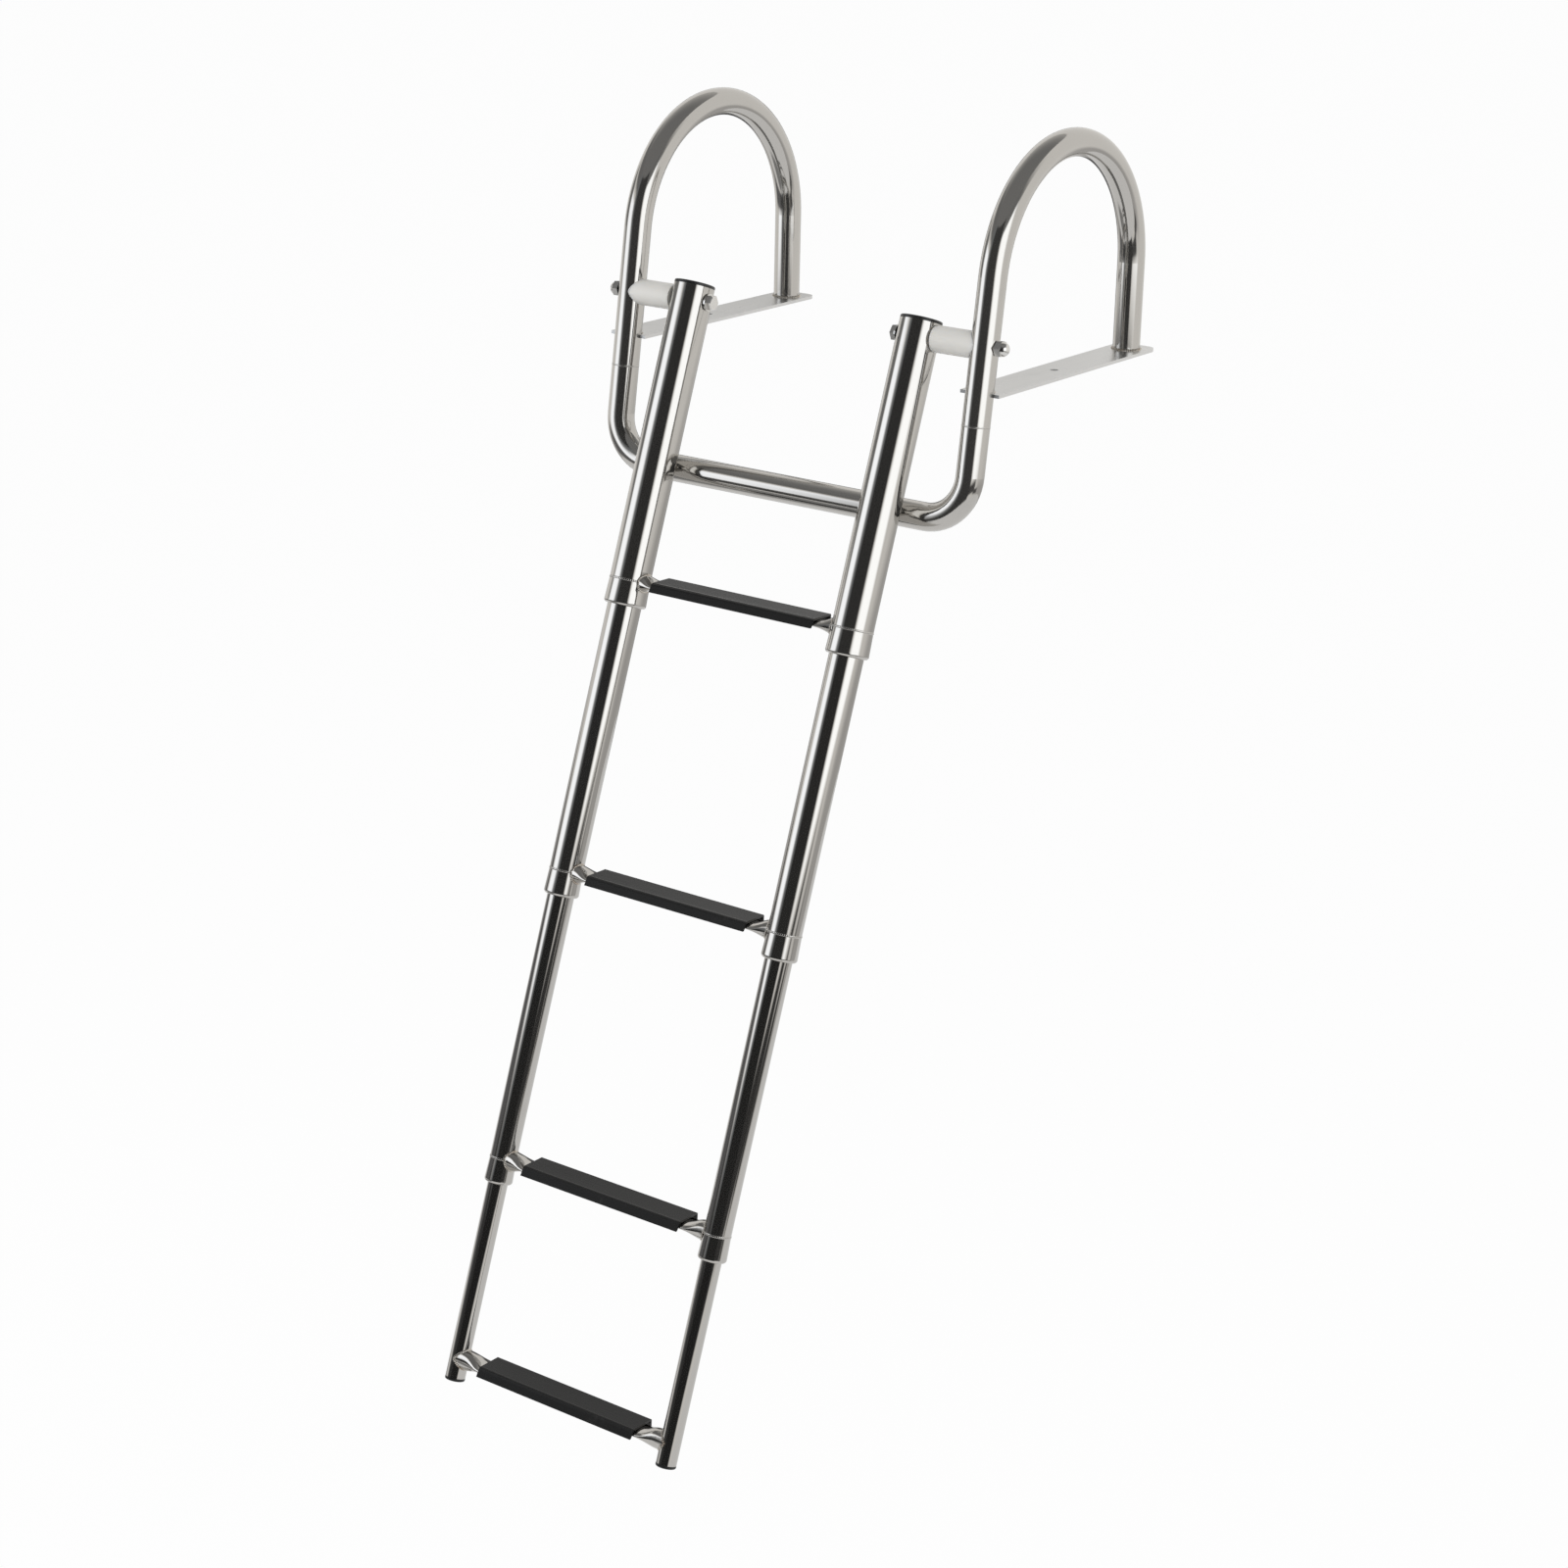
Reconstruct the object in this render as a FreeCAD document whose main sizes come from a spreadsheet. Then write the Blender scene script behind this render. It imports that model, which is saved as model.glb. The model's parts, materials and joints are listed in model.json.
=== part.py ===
"""Telescoping boarding ladder for a boat: four treads on rails that slide into each other,
hung by two pivot bolts between a pair of handrail loops that stand on deck plates.

Frame: +Z up, +Y towards the deck, +X to the right for someone who looks from the water.
The origin lies on the underside of the right deck plate, at the centre of its bolt hole.
The ladder is drawn hanging, pulled out to its full length, with its rails against the cross bar.
"""
import FreeCAD
import Part
import Sketcher

import math
import os

Vector = FreeCAD.Vector
X_AXIS = Vector(1, 0, 0)
Z_AXIS = Vector(0, 0, 1)

# Lengths that differ by less than this count as the same.
SAME = 1e-4

# Driving dimensions: millimetres and degrees.
SIZES = {
    "handrail_spacing": (390.0, "between the centre planes of the two handrail loops"),
    "handrail_od": (25.4, "tube of the loops and of the cross bar"),
    "handrail_wall": (1.5, "wall of that tube"),
    "leg_tilt": (7.8, "lean of the front legs from the vertical, foot towards the water"),
    "arch_rise": (162.4, "middle of the arch's tube above the pivot axis"),
    "rear_leg_back": (247.5, "rear leg behind the pivot axis"),
    "leg_seam_drop": (66.0, "from the pivot down the leg to the seam of the lower tube"),
    "crossbar_drop": (156.0, "from the pivot down the leg to the cross bar's axis"),
    "crossbar_bend": (42.0, "radius of the two lower bends, on the tube's middle"),
    "rest_gap": (0.3, "between the rails and the cross bar that they rest on"),
    "pivot_height": (42.3, "pivot axis above the underside of the deck plates"),
    "plate_width": (40.0, "deck plate across"),
    "plate_thickness": (3.0, "deck plate"),
    "plate_tail": (22.5, "deck plate behind the rear leg's axis"),
    "plate_corner": (9.0, "rounding of the deck plate's rear corners"),
    "plate_hole_back": (119.0, "bolt hole behind the pivot axis"),
    "plate_hole_bore": (7.0, "diameter of the bolt hole"),
    "rail_spacing": (250.5, "between the axes of the two rails"),
    "rail_wall": (1.2, "wall of all rail tubes"),
    "upper_rail_od": (38.1, "uppermost rail tube"),
    "second_rail_od": (31.75, "second rail tube"),
    "third_rail_od": (25.4, "third rail tube"),
    "lowest_rail_od": (19.05, "lowest rail tube"),
    "rail_top_rise": (12.8, "top of the upper tube above the pivot axis"),
    "upper_rail_length": (277.0, "upper tube from its top to its seam with the collar"),
    "second_rail_reach": (252.0, "second tube's bare length"),
    "third_rail_reach": (252.0, "third tube's bare length"),
    "lowest_rail_reach": (188.0, "lowest tube's bare length"),
    "lowest_step_drop": (169.0, "lowest step below the collar over it"),
    "collar_length": (24.0, "collar at the lower end of each guiding tube"),
    "collar_proud": (0.8, "collar's foot outside its tube's face; its head is flush with the tube"),
    "collar_round": (3.0, "rounding of the collar's lower rim"),
    "slide_engagement": (16.0, "sliding tube's length above the collar when pulled out"),
    "slide_clearance": (0.3, "around a sliding tube or its bush"),
    "stop_gap": (0.3, "between a stop bush and the collar that holds it"),
    "bush_seat_gap": (0.05, "between a stop bush and the tube that it is fixed on"),
    "cap_thickness": (3.0, "head of a tube's end cap"),
    "cap_round": (1.2, "rounding of a cap's rim"),
    "cap_plug_length": (6.0, "plug of a cap inside its tube"),
    "foot_plug_length": (12.0, "plug of a foot inside its tube"),
    "cap_fit": (0.1, "between a plug and the tube around it"),
    "bar_end_od": (19.05, "round ends of a step bar"),
    "bar_flat_width": (24.0, "step bar under its tread, front to back"),
    "bar_flat_height": (6.5, "step bar under its tread, top to bottom"),
    "bar_wall": (1.2, "wall of a step bar"),
    "bar_flare": (22.0, "length over which a bar goes from round to flat"),
    "weld_gap": (0.1, "between two pieces that are welded along their edge"),
    "tread_length": (182.0, "tread along the step bar"),
    "tread_depth": (32.0, "tread front to back"),
    "tread_cover": (2.0, "thickness over the bar"),
    "tread_wall": (1.6, "thickness of the front and rear lips"),
    "tread_lip": (8.0, "front and rear faces, top to bottom"),
    "tread_gap": (0.3, "between the tread and its bar"),
    "tread_rake": (4.5, "front lip's foot in front of its head"),
    "tread_nose": (4.5, "rounding of the upper front edge"),
    "tread_heel": (1.8, "rounding of the upper rear edge"),
    "tread_tilt": (17.5, "turn of the treads from square to the rails, so that they hang level"),
    "bolt_diameter": (8.0, "pivot bolt's shank"),
    "bolt_running_gap": (0.05, "around the shank in the rail"),
    "bolt_fit_gap": (0.1, "around the shank in the leg and the spacer"),
    "bolt_head_flats": (13.0, "across the flats of the bolt's head"),
    "bolt_head_height": (5.3, "bolt's head"),
    "bolt_head_chamfer": (1.0, "bevel of the head's outer edges"),
    "washer_od": (16.0, "washer under the bolt's head"),
    "washer_thickness": (1.6, "washer under the bolt's head"),
    "nut_flats": (13.0, "across the flats of the domed nut"),
    "nut_height": (6.0, "nut's hexagon"),
    "nut_dome": (5.2, "dome's height over the hexagon"),
    "nut_dome_od": (12.0, "dome across"),
    "seat_gap": (0.3, "between the pivot's pieces that turn on each other"),
    "spacer_od": (24.0, "nylon spacer between rail and leg"),
}

# Worked out from the driving dimensions.
WORKED = {
    "rail_tilt": "Sizes.leg_tilt + asin((Sizes.upper_rail_od / 2 + Sizes.handrail_od / 2"
    " + Sizes.rest_gap) / Sizes.crossbar_drop) / 1 deg",
    "arch_radius": "(Sizes.rear_leg_back * cos(Sizes.leg_tilt) - Sizes.arch_rise * sin(Sizes.leg_tilt))"
    " / (1 + cos(Sizes.leg_tilt) - sin(Sizes.leg_tilt))",
    "step_1": "Sizes.upper_rail_length - Sizes.rail_top_rise",
    "step_2": "step_1 + Sizes.collar_length + Sizes.second_rail_reach",
    "step_3": "step_2 + Sizes.collar_length + Sizes.third_rail_reach",
    "step_4": "step_3 + Sizes.collar_length + Sizes.lowest_step_drop",
    "foot_end": "step_3 + Sizes.collar_length + Sizes.lowest_rail_reach",
    "plate_top": "Sizes.plate_thickness - Sizes.pivot_height",
    "tread_angle": "rail_tilt - Sizes.tread_tilt",
    "tread_top": "Sizes.bar_flat_height / 2 + Sizes.tread_gap + Sizes.tread_cover",
}

SIDES = {"left": -1, "right": 1}
SECTIONS = ("upper", "second", "third", "lowest")

# A step bar's flare: share of its length from the tread's end, and roundness there.
FLARE = [(share, share * share * (3 - 2 * share)) for share in (0, 0.25, 0.5, 0.75, 1)]
FLARE = [(-0.5, 0), (-0.25, 0), *FLARE, (1.25, 1)]

# Distances from the ladder's middle: the upper rail's inner and outer faces, and the leg's outer face.
RAIL_INSIDE = "(Sizes.rail_spacing - Sizes.upper_rail_od) / 2"
RAIL_FACE = "(Sizes.rail_spacing + Sizes.upper_rail_od) / 2"
LEG_FACE = "(Sizes.handrail_spacing + Sizes.handrail_od) / 2"

doc = FreeCAD.newDocument("BoardingLadder")


def make_sheet(name, cells):
    """Fill a sheet: a row for each value, with its name, its number or formula, and a note."""
    sheet = doc.addObject("Spreadsheet::Sheet", name)
    for row, (alias, (content, note)) in enumerate(cells.items(), start=1):
        sheet.set(f"A{row}", alias)
        sheet.set(f"B{row}", content)
        sheet.set(f"C{row}", note)
        sheet.setAlias(f"B{row}", alias)
    doc.recompute()
    return sheet


sizes = make_sheet("Sizes", {alias: (str(value), note) for alias, (value, note) in SIZES.items()})
worked = make_sheet("Worked", {alias: (f"={formula}", "") for alias, formula in WORKED.items()})


def bind(obj, **expressions):
    """Bind properties to expressions; a double underscore stands for a dot in a property's path."""
    for path, expression in expressions.items():
        obj.setExpression(path.replace("__", "."), expression)


def place(obj, frame, drop=None):
    """Put a piece in one of the ladder's frames, all hinged on the pivot axis.

    upright follows the deck, leg the front legs, rail the ladder's rails and tread the treads.
    drop is the distance from the pivot axis down the rails.
    """
    tilts = {
        "upright": "0",
        "leg": "Sizes.leg_tilt",
        "rail": "Worked.rail_tilt",
        "tread": "Worked.tread_angle",
    }
    obj.Placement = FreeCAD.Placement(Vector(), FreeCAD.Rotation(X_AXIS, -1))
    along_y = "-Sizes.plate_hole_back"
    along_z = "Sizes.pivot_height"
    if drop:
        along_y += f" - ({drop}) * sin(Worked.rail_tilt)"
        along_z += f" - ({drop}) * cos(Worked.rail_tilt)"
    bind(
        obj,
        Placement__Base__x="-Sizes.handrail_spacing / 2",
        Placement__Base__y=along_y,
        Placement__Base__z=along_z,
        Placement__Rotation__Angle=f"-({tilts[frame]})",
    )


def new_body(label):
    """Start a piece that is made feature by feature."""
    body = doc.addObject("PartDesign::Body", label)
    body.Label = label
    return body


def new_sketch(body, plane, **offsets):
    """Add a sketch on one of the body's own planes, moved by expressions for x, y and z."""
    sketch = body.newObject("Sketcher::SketchObject", f"{body.Name}_sketch")
    support = next(item for item in body.Origin.OriginFeatures if item.Role == plane)
    sketch.AttachmentSupport = [(support, "")]
    sketch.MapMode = "FlatFace"
    for axis, expression in offsets.items():
        sketch.setExpression(f"AttachmentOffset.Base.{axis}", expression)
    return sketch


def constrain(sketch, expression, *constraint):
    """Add a sketch constraint whose value follows an expression."""
    value = float(sketch.evalExpression(expression))
    index = sketch.addConstraint(Sketcher.Constraint(*constraint, value))
    sketch.setExpression(f"Constraints[{index}]", expression)


def add_circle(sketch, radius, x="0", y="0"):
    """Add a circle whose radius and centre follow expressions."""
    circle = sketch.addGeometry(Part.Circle(Vector(), Z_AXIS, float(sketch.evalExpression(radius))))
    constrain(sketch, radius, "Radius", circle)
    for name, value in (("DistanceX", x), ("DistanceY", y)):
        if value == "0":
            axis = -2 if name == "DistanceX" else -1
            sketch.addConstraint(Sketcher.Constraint("PointOnObject", circle, 3, axis))
        else:
            constrain(sketch, value, name, -1, 1, circle, 3)
    return circle


def add_ring(sketch, outer, inner, x="0", y="0"):
    """Add two circles on one centre."""
    add_circle(sketch, outer, x, y)
    add_circle(sketch, inner, x, y)


def add_outline(sketch, points):
    """Add a closed outline whose corners follow pairs of expressions."""
    doc.recompute()
    start = [tuple(float(sketch.evalExpression(value)) for value in point) for point in points]
    count = len(points)
    for index in range(count):
        begin = Vector(*start[index], 0)
        finish = Vector(*start[(index + 1) % count], 0)
        sketch.addGeometry(Part.LineSegment(begin, finish))
    for index in range(count):
        sketch.addConstraint(Sketcher.Constraint("Coincident", index, 2, (index + 1) % count, 1))
    for index, (x, y) in enumerate(points):
        for kind, value, axis in (("DistanceX", x, -2), ("DistanceY", y, -1)):
            if value == "0":
                sketch.addConstraint(Sketcher.Constraint("PointOnObject", index, 1, axis))
            else:
                number = sketch.addConstraint(
                    Sketcher.Constraint(kind, -1, 1, index, 1, start[index][0 if axis == -2 else 1])
                )
                sketch.setExpression(f"Constraints[{number}]", value)


def pad(body, sketch, length, name="pad", midplane=False, reverse=False):
    """Pull a sketch out into a solid."""
    feature = body.newObject("PartDesign::Pad", f"{body.Name}_{name}")
    feature.Profile = sketch
    feature.Midplane = midplane
    feature.Reversed = reverse
    bind(feature, Length=length)
    return feature


def pocket_through(body, sketch, name="pocket"):
    """Cut a sketch right through, both ways."""
    feature = body.newObject("PartDesign::Pocket", f"{body.Name}_{name}")
    feature.Profile = sketch
    feature.Type = "ThroughAll"
    feature.Midplane = True
    return feature


def revolve(body, sketch, name="turned"):
    """Turn a sketch drawn beside the vertical axis right round it."""
    feature = body.newObject("PartDesign::Revolution", f"{body.Name}_{name}")
    feature.Profile = sketch
    feature.ReferenceAxis = (sketch, ["V_Axis"])
    feature.Angle = 360
    return feature


def round_edges(body, radius, chosen, name="rounding", kind="Fillet"):
    """Round or chamfer the edges that the test chosen picks, by each edge's middle and direction."""
    doc.recompute()
    base = body.Tip
    names = []
    for index, edge in enumerate(base.Shape.Edges, start=1):
        middle = edge.valueAt((edge.FirstParameter + edge.LastParameter) / 2)
        if chosen(edge, middle):
            names.append(f"Edge{index}")
    if not names:
        raise ValueError(f"{body.Label}: no edge to round")
    feature = body.newObject(f"PartDesign::{kind}", f"{body.Name}_{name}")
    feature.Base = (base, names)
    bind(feature, **{"Radius" if kind == "Fillet" else "Size": radius})
    return feature


def value_of(alias):
    """A driving dimension or a worked value, as a number."""
    return float(getattr(sizes if alias in SIZES else worked, alias))


def is_round(edge, radius):
    """Is this edge a circle of this radius?"""
    return isinstance(edge.Curve, Part.Circle) and abs(edge.Curve.Radius - radius) < SAME


def side_x(side, spacing):
    """Distance of a piece from the middle of the ladder, as an expression."""
    return f"{SIDES[side]} * Sizes.{spacing} / 2"


def add_bolt_hole(body, gap, reach):
    """Drill a tube across, through both walls, on the pivot axis."""
    sketch = new_sketch(body, "YZ_Plane", z=reach)
    add_circle(sketch, f"Sizes.bolt_diameter / 2 + Sizes.{gap}")
    before = body.Shape.Volume
    drilled = body.newObject("PartDesign::Pocket", f"{body.Name}_bolt_hole")
    drilled.Profile = sketch
    drilled.Midplane = True
    bind(drilled, Length="2 * Sizes.upper_rail_od")
    doc.recompute()
    if body.Shape.Volume >= before:
        raise ValueError(f"{body.Label}: the bolt hole cuts nothing")


def make_handrail(side):
    """Loop of tube from the deck plate over the arch and down the front leg to the seam."""
    body = new_body(f"handrail_{side}")
    path = new_sketch(body, "YZ_Plane", z=side_x(side, "handrail_spacing"))
    radius = value_of("arch_radius")
    rear = value_of("rear_leg_back")
    rise = value_of("arch_rise")
    lean = value_of("leg_tilt")
    centre = Vector(rear - radius, rise - radius, 0)
    down_leg = FreeCAD.Rotation(Z_AXIS, -lean).multVec(Vector(0, -1, 0))
    foot = Vector(rear, value_of("plate_top"), 0)
    arch = Part.ArcOfCircle(Part.Circle(centre, Z_AXIS, radius), 0, math.radians(180 - lean))
    rear_leg = path.addGeometry(Part.LineSegment(foot, centre + Vector(radius, 0, 0)))
    bend = path.addGeometry(arch)
    front_leg = path.addGeometry(Part.LineSegment(arch.EndPoint, down_leg * value_of("leg_seam_drop")))
    path.addConstraint(Sketcher.Constraint("Tangent", rear_leg, 2, bend, 1))
    path.addConstraint(Sketcher.Constraint("Tangent", bend, 2, front_leg, 1))
    path.addConstraint(Sketcher.Constraint("Vertical", rear_leg))
    constrain(path, "Worked.arch_radius", "Radius", bend)
    constrain(path, "Sizes.rear_leg_back - Worked.arch_radius", "DistanceX", -1, 1, bend, 3)
    constrain(path, "Sizes.arch_rise - Worked.arch_radius", "DistanceY", -1, 1, bend, 3)
    constrain(path, "Worked.plate_top", "DistanceY", -1, 1, rear_leg, 1)
    constrain(path, "-Sizes.leg_seam_drop * sin(Sizes.leg_tilt)", "DistanceX", -1, 1, front_leg, 2)
    constrain(path, "-Sizes.leg_seam_drop * cos(Sizes.leg_tilt)", "DistanceY", -1, 1, front_leg, 2)
    ring = new_sketch(body, "XY_Plane", z="Worked.plate_top")
    add_ring(
        ring,
        "Sizes.handrail_od / 2",
        "Sizes.handrail_od / 2 - Sizes.handrail_wall",
        side_x(side, "handrail_spacing"),
        "Sizes.rear_leg_back",
    )
    tube = body.newObject("PartDesign::AdditivePipe", f"{body.Name}_tube")
    tube.Profile = ring
    tube.Spine = path
    doc.recompute()
    add_bolt_hole(body, "bolt_fit_gap", side_x(side, "handrail_spacing"))
    place(body, "upright")
    return body


def make_crossbar():
    """Lower tube: down from both seams, round the two bends and across behind the rails."""
    body = new_body("lower_crossbar")
    path = new_sketch(body, "XZ_Plane")
    half = value_of("handrail_spacing") / 2
    seam = value_of("leg_seam_drop")
    drop = value_of("crossbar_drop")
    radius = value_of("crossbar_bend")
    lines = []
    arcs = []
    for sign in (-1, 1):
        centre = Vector(sign * (half - radius), radius - drop, 0)
        circle = Part.Circle(centre, Z_AXIS, radius)
        upper = Vector(sign * half, -seam, 0)
        lower = Vector(sign * half, radius - drop, 0)
        lines.append(path.addGeometry(Part.LineSegment(upper, lower)))
        first = 180 if sign < 0 else 270
        bend = Part.ArcOfCircle(circle, math.radians(first), math.radians(first + 90))
        arcs.append(path.addGeometry(bend))
    left = Vector(radius - half, -drop, 0)
    right = Vector(half - radius, -drop, 0)
    across = path.addGeometry(Part.LineSegment(left, right))
    for side, (line, arc) in enumerate(zip(lines, arcs)):
        path.addConstraint(Sketcher.Constraint("Tangent", line, 2, arc, 1 + side))
        path.addConstraint(Sketcher.Constraint("Tangent", arc, 2 - side, across, 1 + side))
        path.addConstraint(Sketcher.Constraint("Vertical", line))
        sign = 2 * side - 1
        constrain(path, f"{sign} * Sizes.handrail_spacing / 2", "DistanceX", -1, 1, line, 1)
        constrain(path, "-Sizes.leg_seam_drop", "DistanceY", -1, 1, line, 1)
        constrain(path, "Sizes.crossbar_bend", "Radius", arc)
    constrain(path, "-Sizes.crossbar_drop", "DistanceY", -1, 1, across, 1)
    ring = new_sketch(body, "XY_Plane", z="-Sizes.leg_seam_drop")
    add_ring(
        ring,
        "Sizes.handrail_od / 2",
        "Sizes.handrail_od / 2 - Sizes.handrail_wall",
        "-Sizes.handrail_spacing / 2",
    )
    tube = body.newObject("PartDesign::AdditivePipe", f"{body.Name}_tube")
    tube.Profile = ring
    tube.Spine = path
    place(body, "leg")
    return body


def make_plate(side):
    """Flat deck plate from the front leg to just behind the rear one, with a bolt hole."""
    blank = new_body(f"mounting_plate_{side}_blank")
    outline = new_sketch(blank, "XY_Plane", x=side_x(side, "handrail_spacing"), z="-Sizes.pivot_height")
    near = "-Sizes.pivot_height * tan(Sizes.leg_tilt)"
    far = "Sizes.rear_leg_back + Sizes.plate_tail"
    half = "Sizes.plate_width / 2"
    add_outline(outline, [(f"-{half}", near), (half, near), (half, far), (f"-{half}", far)])
    pad(blank, outline, "Sizes.plate_thickness")
    rear = value_of("rear_leg_back")
    thick = value_of("plate_thickness")
    round_edges(
        blank,
        "Sizes.plate_corner",
        lambda edge, middle: middle.y > rear and abs(edge.BoundBox.ZLength - thick) < SAME,
    )
    hole = new_sketch(blank, "XY_Plane", x=side_x(side, "handrail_spacing"))
    add_circle(hole, "Sizes.plate_hole_bore / 2", "0", "Sizes.plate_hole_back")
    pocket_through(blank, hole)
    place(blank, "upright")
    return add_cut(f"mounting_plate_{side}", blank, leg_cutter(f"plate_notch_{side}", side))


def leg_cutter(name, side):
    """Cylinder round a front leg for cutting what meets it, as far above the pivot axis as below."""
    cylinder = doc.addObject("Part::Cylinder", name)
    bind(
        cylinder,
        Radius="Sizes.handrail_od / 2 + Sizes.weld_gap",
        Height="2 * Sizes.leg_seam_drop",
    )
    place(cylinder, "leg")
    bind(
        cylinder,
        Placement__Base__x=f"-Sizes.handrail_spacing / 2 + {side_x(side, 'handrail_spacing')}",
        Placement__Base__y="-Sizes.plate_hole_back - Sizes.leg_seam_drop * sin(Sizes.leg_tilt)",
        Placement__Base__z="Sizes.pivot_height - Sizes.leg_seam_drop * cos(Sizes.leg_tilt)",
    )
    return cylinder


def add_cut(label, base, tool):
    """Cut one shape with another, as a piece of its own."""
    piece = doc.addObject("Part::Cut", label)
    piece.Label = label
    piece.Base = base
    piece.Tool = tool
    return piece


def make_spacer(side):
    """Nylon spacer on the pivot bolt: flat against the rail, hollowed to sit round the leg."""
    sign = SIDES[side]
    blank = new_body(f"spacer_{side}_blank")
    outline = new_sketch(blank, "YZ_Plane", z=f"{sign} * ({RAIL_FACE} + Sizes.seat_gap)")
    add_ring(outline, "Sizes.spacer_od / 2", "Sizes.bolt_diameter / 2 + Sizes.bolt_fit_gap")
    pad(blank, outline, f"Sizes.handrail_spacing / 2 - {RAIL_FACE} - Sizes.seat_gap", reverse=sign < 0)
    place(blank, "leg")
    return add_cut(f"spacer_{side}", blank, leg_cutter(f"spacer_saddle_{side}", side))


def add_hexagon(sketch, flats):
    """Add a hexagon on the sketch's origin, its size across the flats an expression."""
    corner = f"({flats}) / 2 / cos(30)"
    points = [(f"{corner} * cos({60 * turn})", f"{corner} * sin({60 * turn})") for turn in range(6)]
    add_outline(sketch, [(x, "0" if turn % 3 == 0 else y) for turn, (x, y) in enumerate(points)])


def make_bolt(side):
    """Pivot bolt: head inside the rail, shank through rail, spacer and leg to the nut's outer face."""
    sign = SIDES[side]
    body = new_body(f"pivot_bolt_{side}")
    seat = f"({RAIL_INSIDE} - Sizes.seat_gap - Sizes.washer_thickness)"
    head = new_sketch(body, "YZ_Plane", z=f"{sign} * {seat}")
    add_hexagon(head, "Sizes.bolt_head_flats")
    pad(body, head, "Sizes.bolt_head_height", "head", reverse=sign > 0)
    shank = new_sketch(body, "YZ_Plane", z=f"{sign} * {seat}")
    add_circle(shank, "Sizes.bolt_diameter / 2")
    pad(body, shank, f"{LEG_FACE} + Sizes.weld_gap + Sizes.nut_height - {seat}", "shank", reverse=sign < 0)
    outermost = float(body.evalExpression(f"{seat} - Sizes.bolt_head_height"))
    round_edges(
        body,
        "Sizes.bolt_head_chamfer",
        lambda edge, middle: abs(abs(middle.x) - outermost) < SAME,
        "chamfer",
        "Chamfer",
    )
    place(body, "leg")
    return body


def make_washer(side):
    """Washer between the bolt's head and the rail."""
    sign = SIDES[side]
    body = new_body(f"pivot_washer_{side}")
    ring = new_sketch(body, "YZ_Plane", z=f"{sign} * ({RAIL_INSIDE} - Sizes.seat_gap)")
    add_ring(ring, "Sizes.washer_od / 2", "Sizes.bolt_diameter / 2 + Sizes.bolt_fit_gap")
    pad(body, ring, "Sizes.washer_thickness", reverse=sign > 0)
    place(body, "leg")
    return body


def make_nut(side):
    """Domed nut outside the leg."""
    sign = SIDES[side]
    body = new_body(f"pivot_nut_{side}")
    seat = f"{sign} * ({LEG_FACE} + Sizes.weld_gap)"
    hexagon = new_sketch(body, "YZ_Plane", z=seat)
    add_hexagon(hexagon, "Sizes.nut_flats")
    pad(body, hexagon, "Sizes.nut_height", "hexagon", reverse=sign < 0)
    bore = new_sketch(body, "YZ_Plane", z=seat)
    add_circle(bore, "Sizes.bolt_diameter / 2 + Sizes.bolt_running_gap")
    opening = body.newObject("PartDesign::Pocket", f"{body.Name}_bore")
    opening.Profile = bore
    opening.Reversed = sign > 0
    bind(opening, Length="Sizes.nut_height")
    doc.recompute()
    dome = new_sketch(body, "YZ_Plane", z=f"{seat} + {sign} * Sizes.nut_height")
    add_circle(dome, "Sizes.nut_dome_od / 2")
    pad(body, dome, "Sizes.nut_dome", "dome", reverse=sign < 0)
    top = float(body.evalExpression(f"{LEG_FACE} + Sizes.weld_gap + Sizes.nut_height + Sizes.nut_dome"))
    round_edges(
        body,
        "Sizes.nut_dome - Sizes.weld_gap",
        lambda edge, middle: abs(abs(middle.x) - top) < SAME,
    )
    place(body, "leg")
    return body


def make_tube(label, side, od, top, bottom):
    """Straight rail tube between two drops down the rails."""
    body = new_body(label)
    ring = new_sketch(body, "XY_Plane", x=side_x(side, "rail_spacing"), z=f"-({bottom})")
    add_ring(ring, f"Sizes.{od} / 2", f"Sizes.{od} / 2 - Sizes.rail_wall")
    pad(body, ring, f"({bottom}) - ({top})")
    return body


def make_turned(label, side, level, outline):
    """Ring or plug turned on a rail's axis from an outline of pairs: radius, height over level."""
    body = new_body(label)
    sketch = new_sketch(body, "XZ_Plane", x=side_x(side, "rail_spacing"), y=f"-({level})")
    add_outline(sketch, outline)
    revolve(body, sketch)
    place(body, "rail")
    return body


def make_collar(section, side, outer_od, inner_od, seam):
    """Collar under a guiding tube, bored to guide the next tube: it swells towards its rounded foot."""
    bore = f"Sizes.{inner_od} / 2 + Sizes.slide_clearance"
    head = f"Sizes.{outer_od} / 2"
    foot = "-Sizes.collar_length"
    outline = [(bore, "0"), (head, "0"), (f"{head} + Sizes.collar_proud", foot), (bore, foot)]
    body = make_turned(f"{section}_collar_{side}", side, seam, outline)
    radius = value_of(outer_od) / 2 + value_of("collar_proud")
    lower = -value_of(seam.split(".")[1]) - value_of("collar_length")
    round_edges(
        body,
        "Sizes.collar_round",
        lambda edge, middle: is_round(edge, radius) and abs(middle.z - lower) < SAME,
    )
    return body


def make_bush(section, side, od, guide_od, top, seam):
    """Stop bush at the head of a sliding tube: it runs in the tube above and lands on its collar."""
    inner = f"Sizes.{od} / 2 + Sizes.bush_seat_gap"
    outer = f"Sizes.{guide_od} / 2 - Sizes.rail_wall - Sizes.slide_clearance"
    height = f"({seam}) - ({top}) - Sizes.stop_gap"
    outline = [(inner, "0"), (outer, "0"), (outer, f"-({height})"), (inner, f"-({height})")]
    return make_turned(f"{section}_bush_{side}", side, top, outline)


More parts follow.
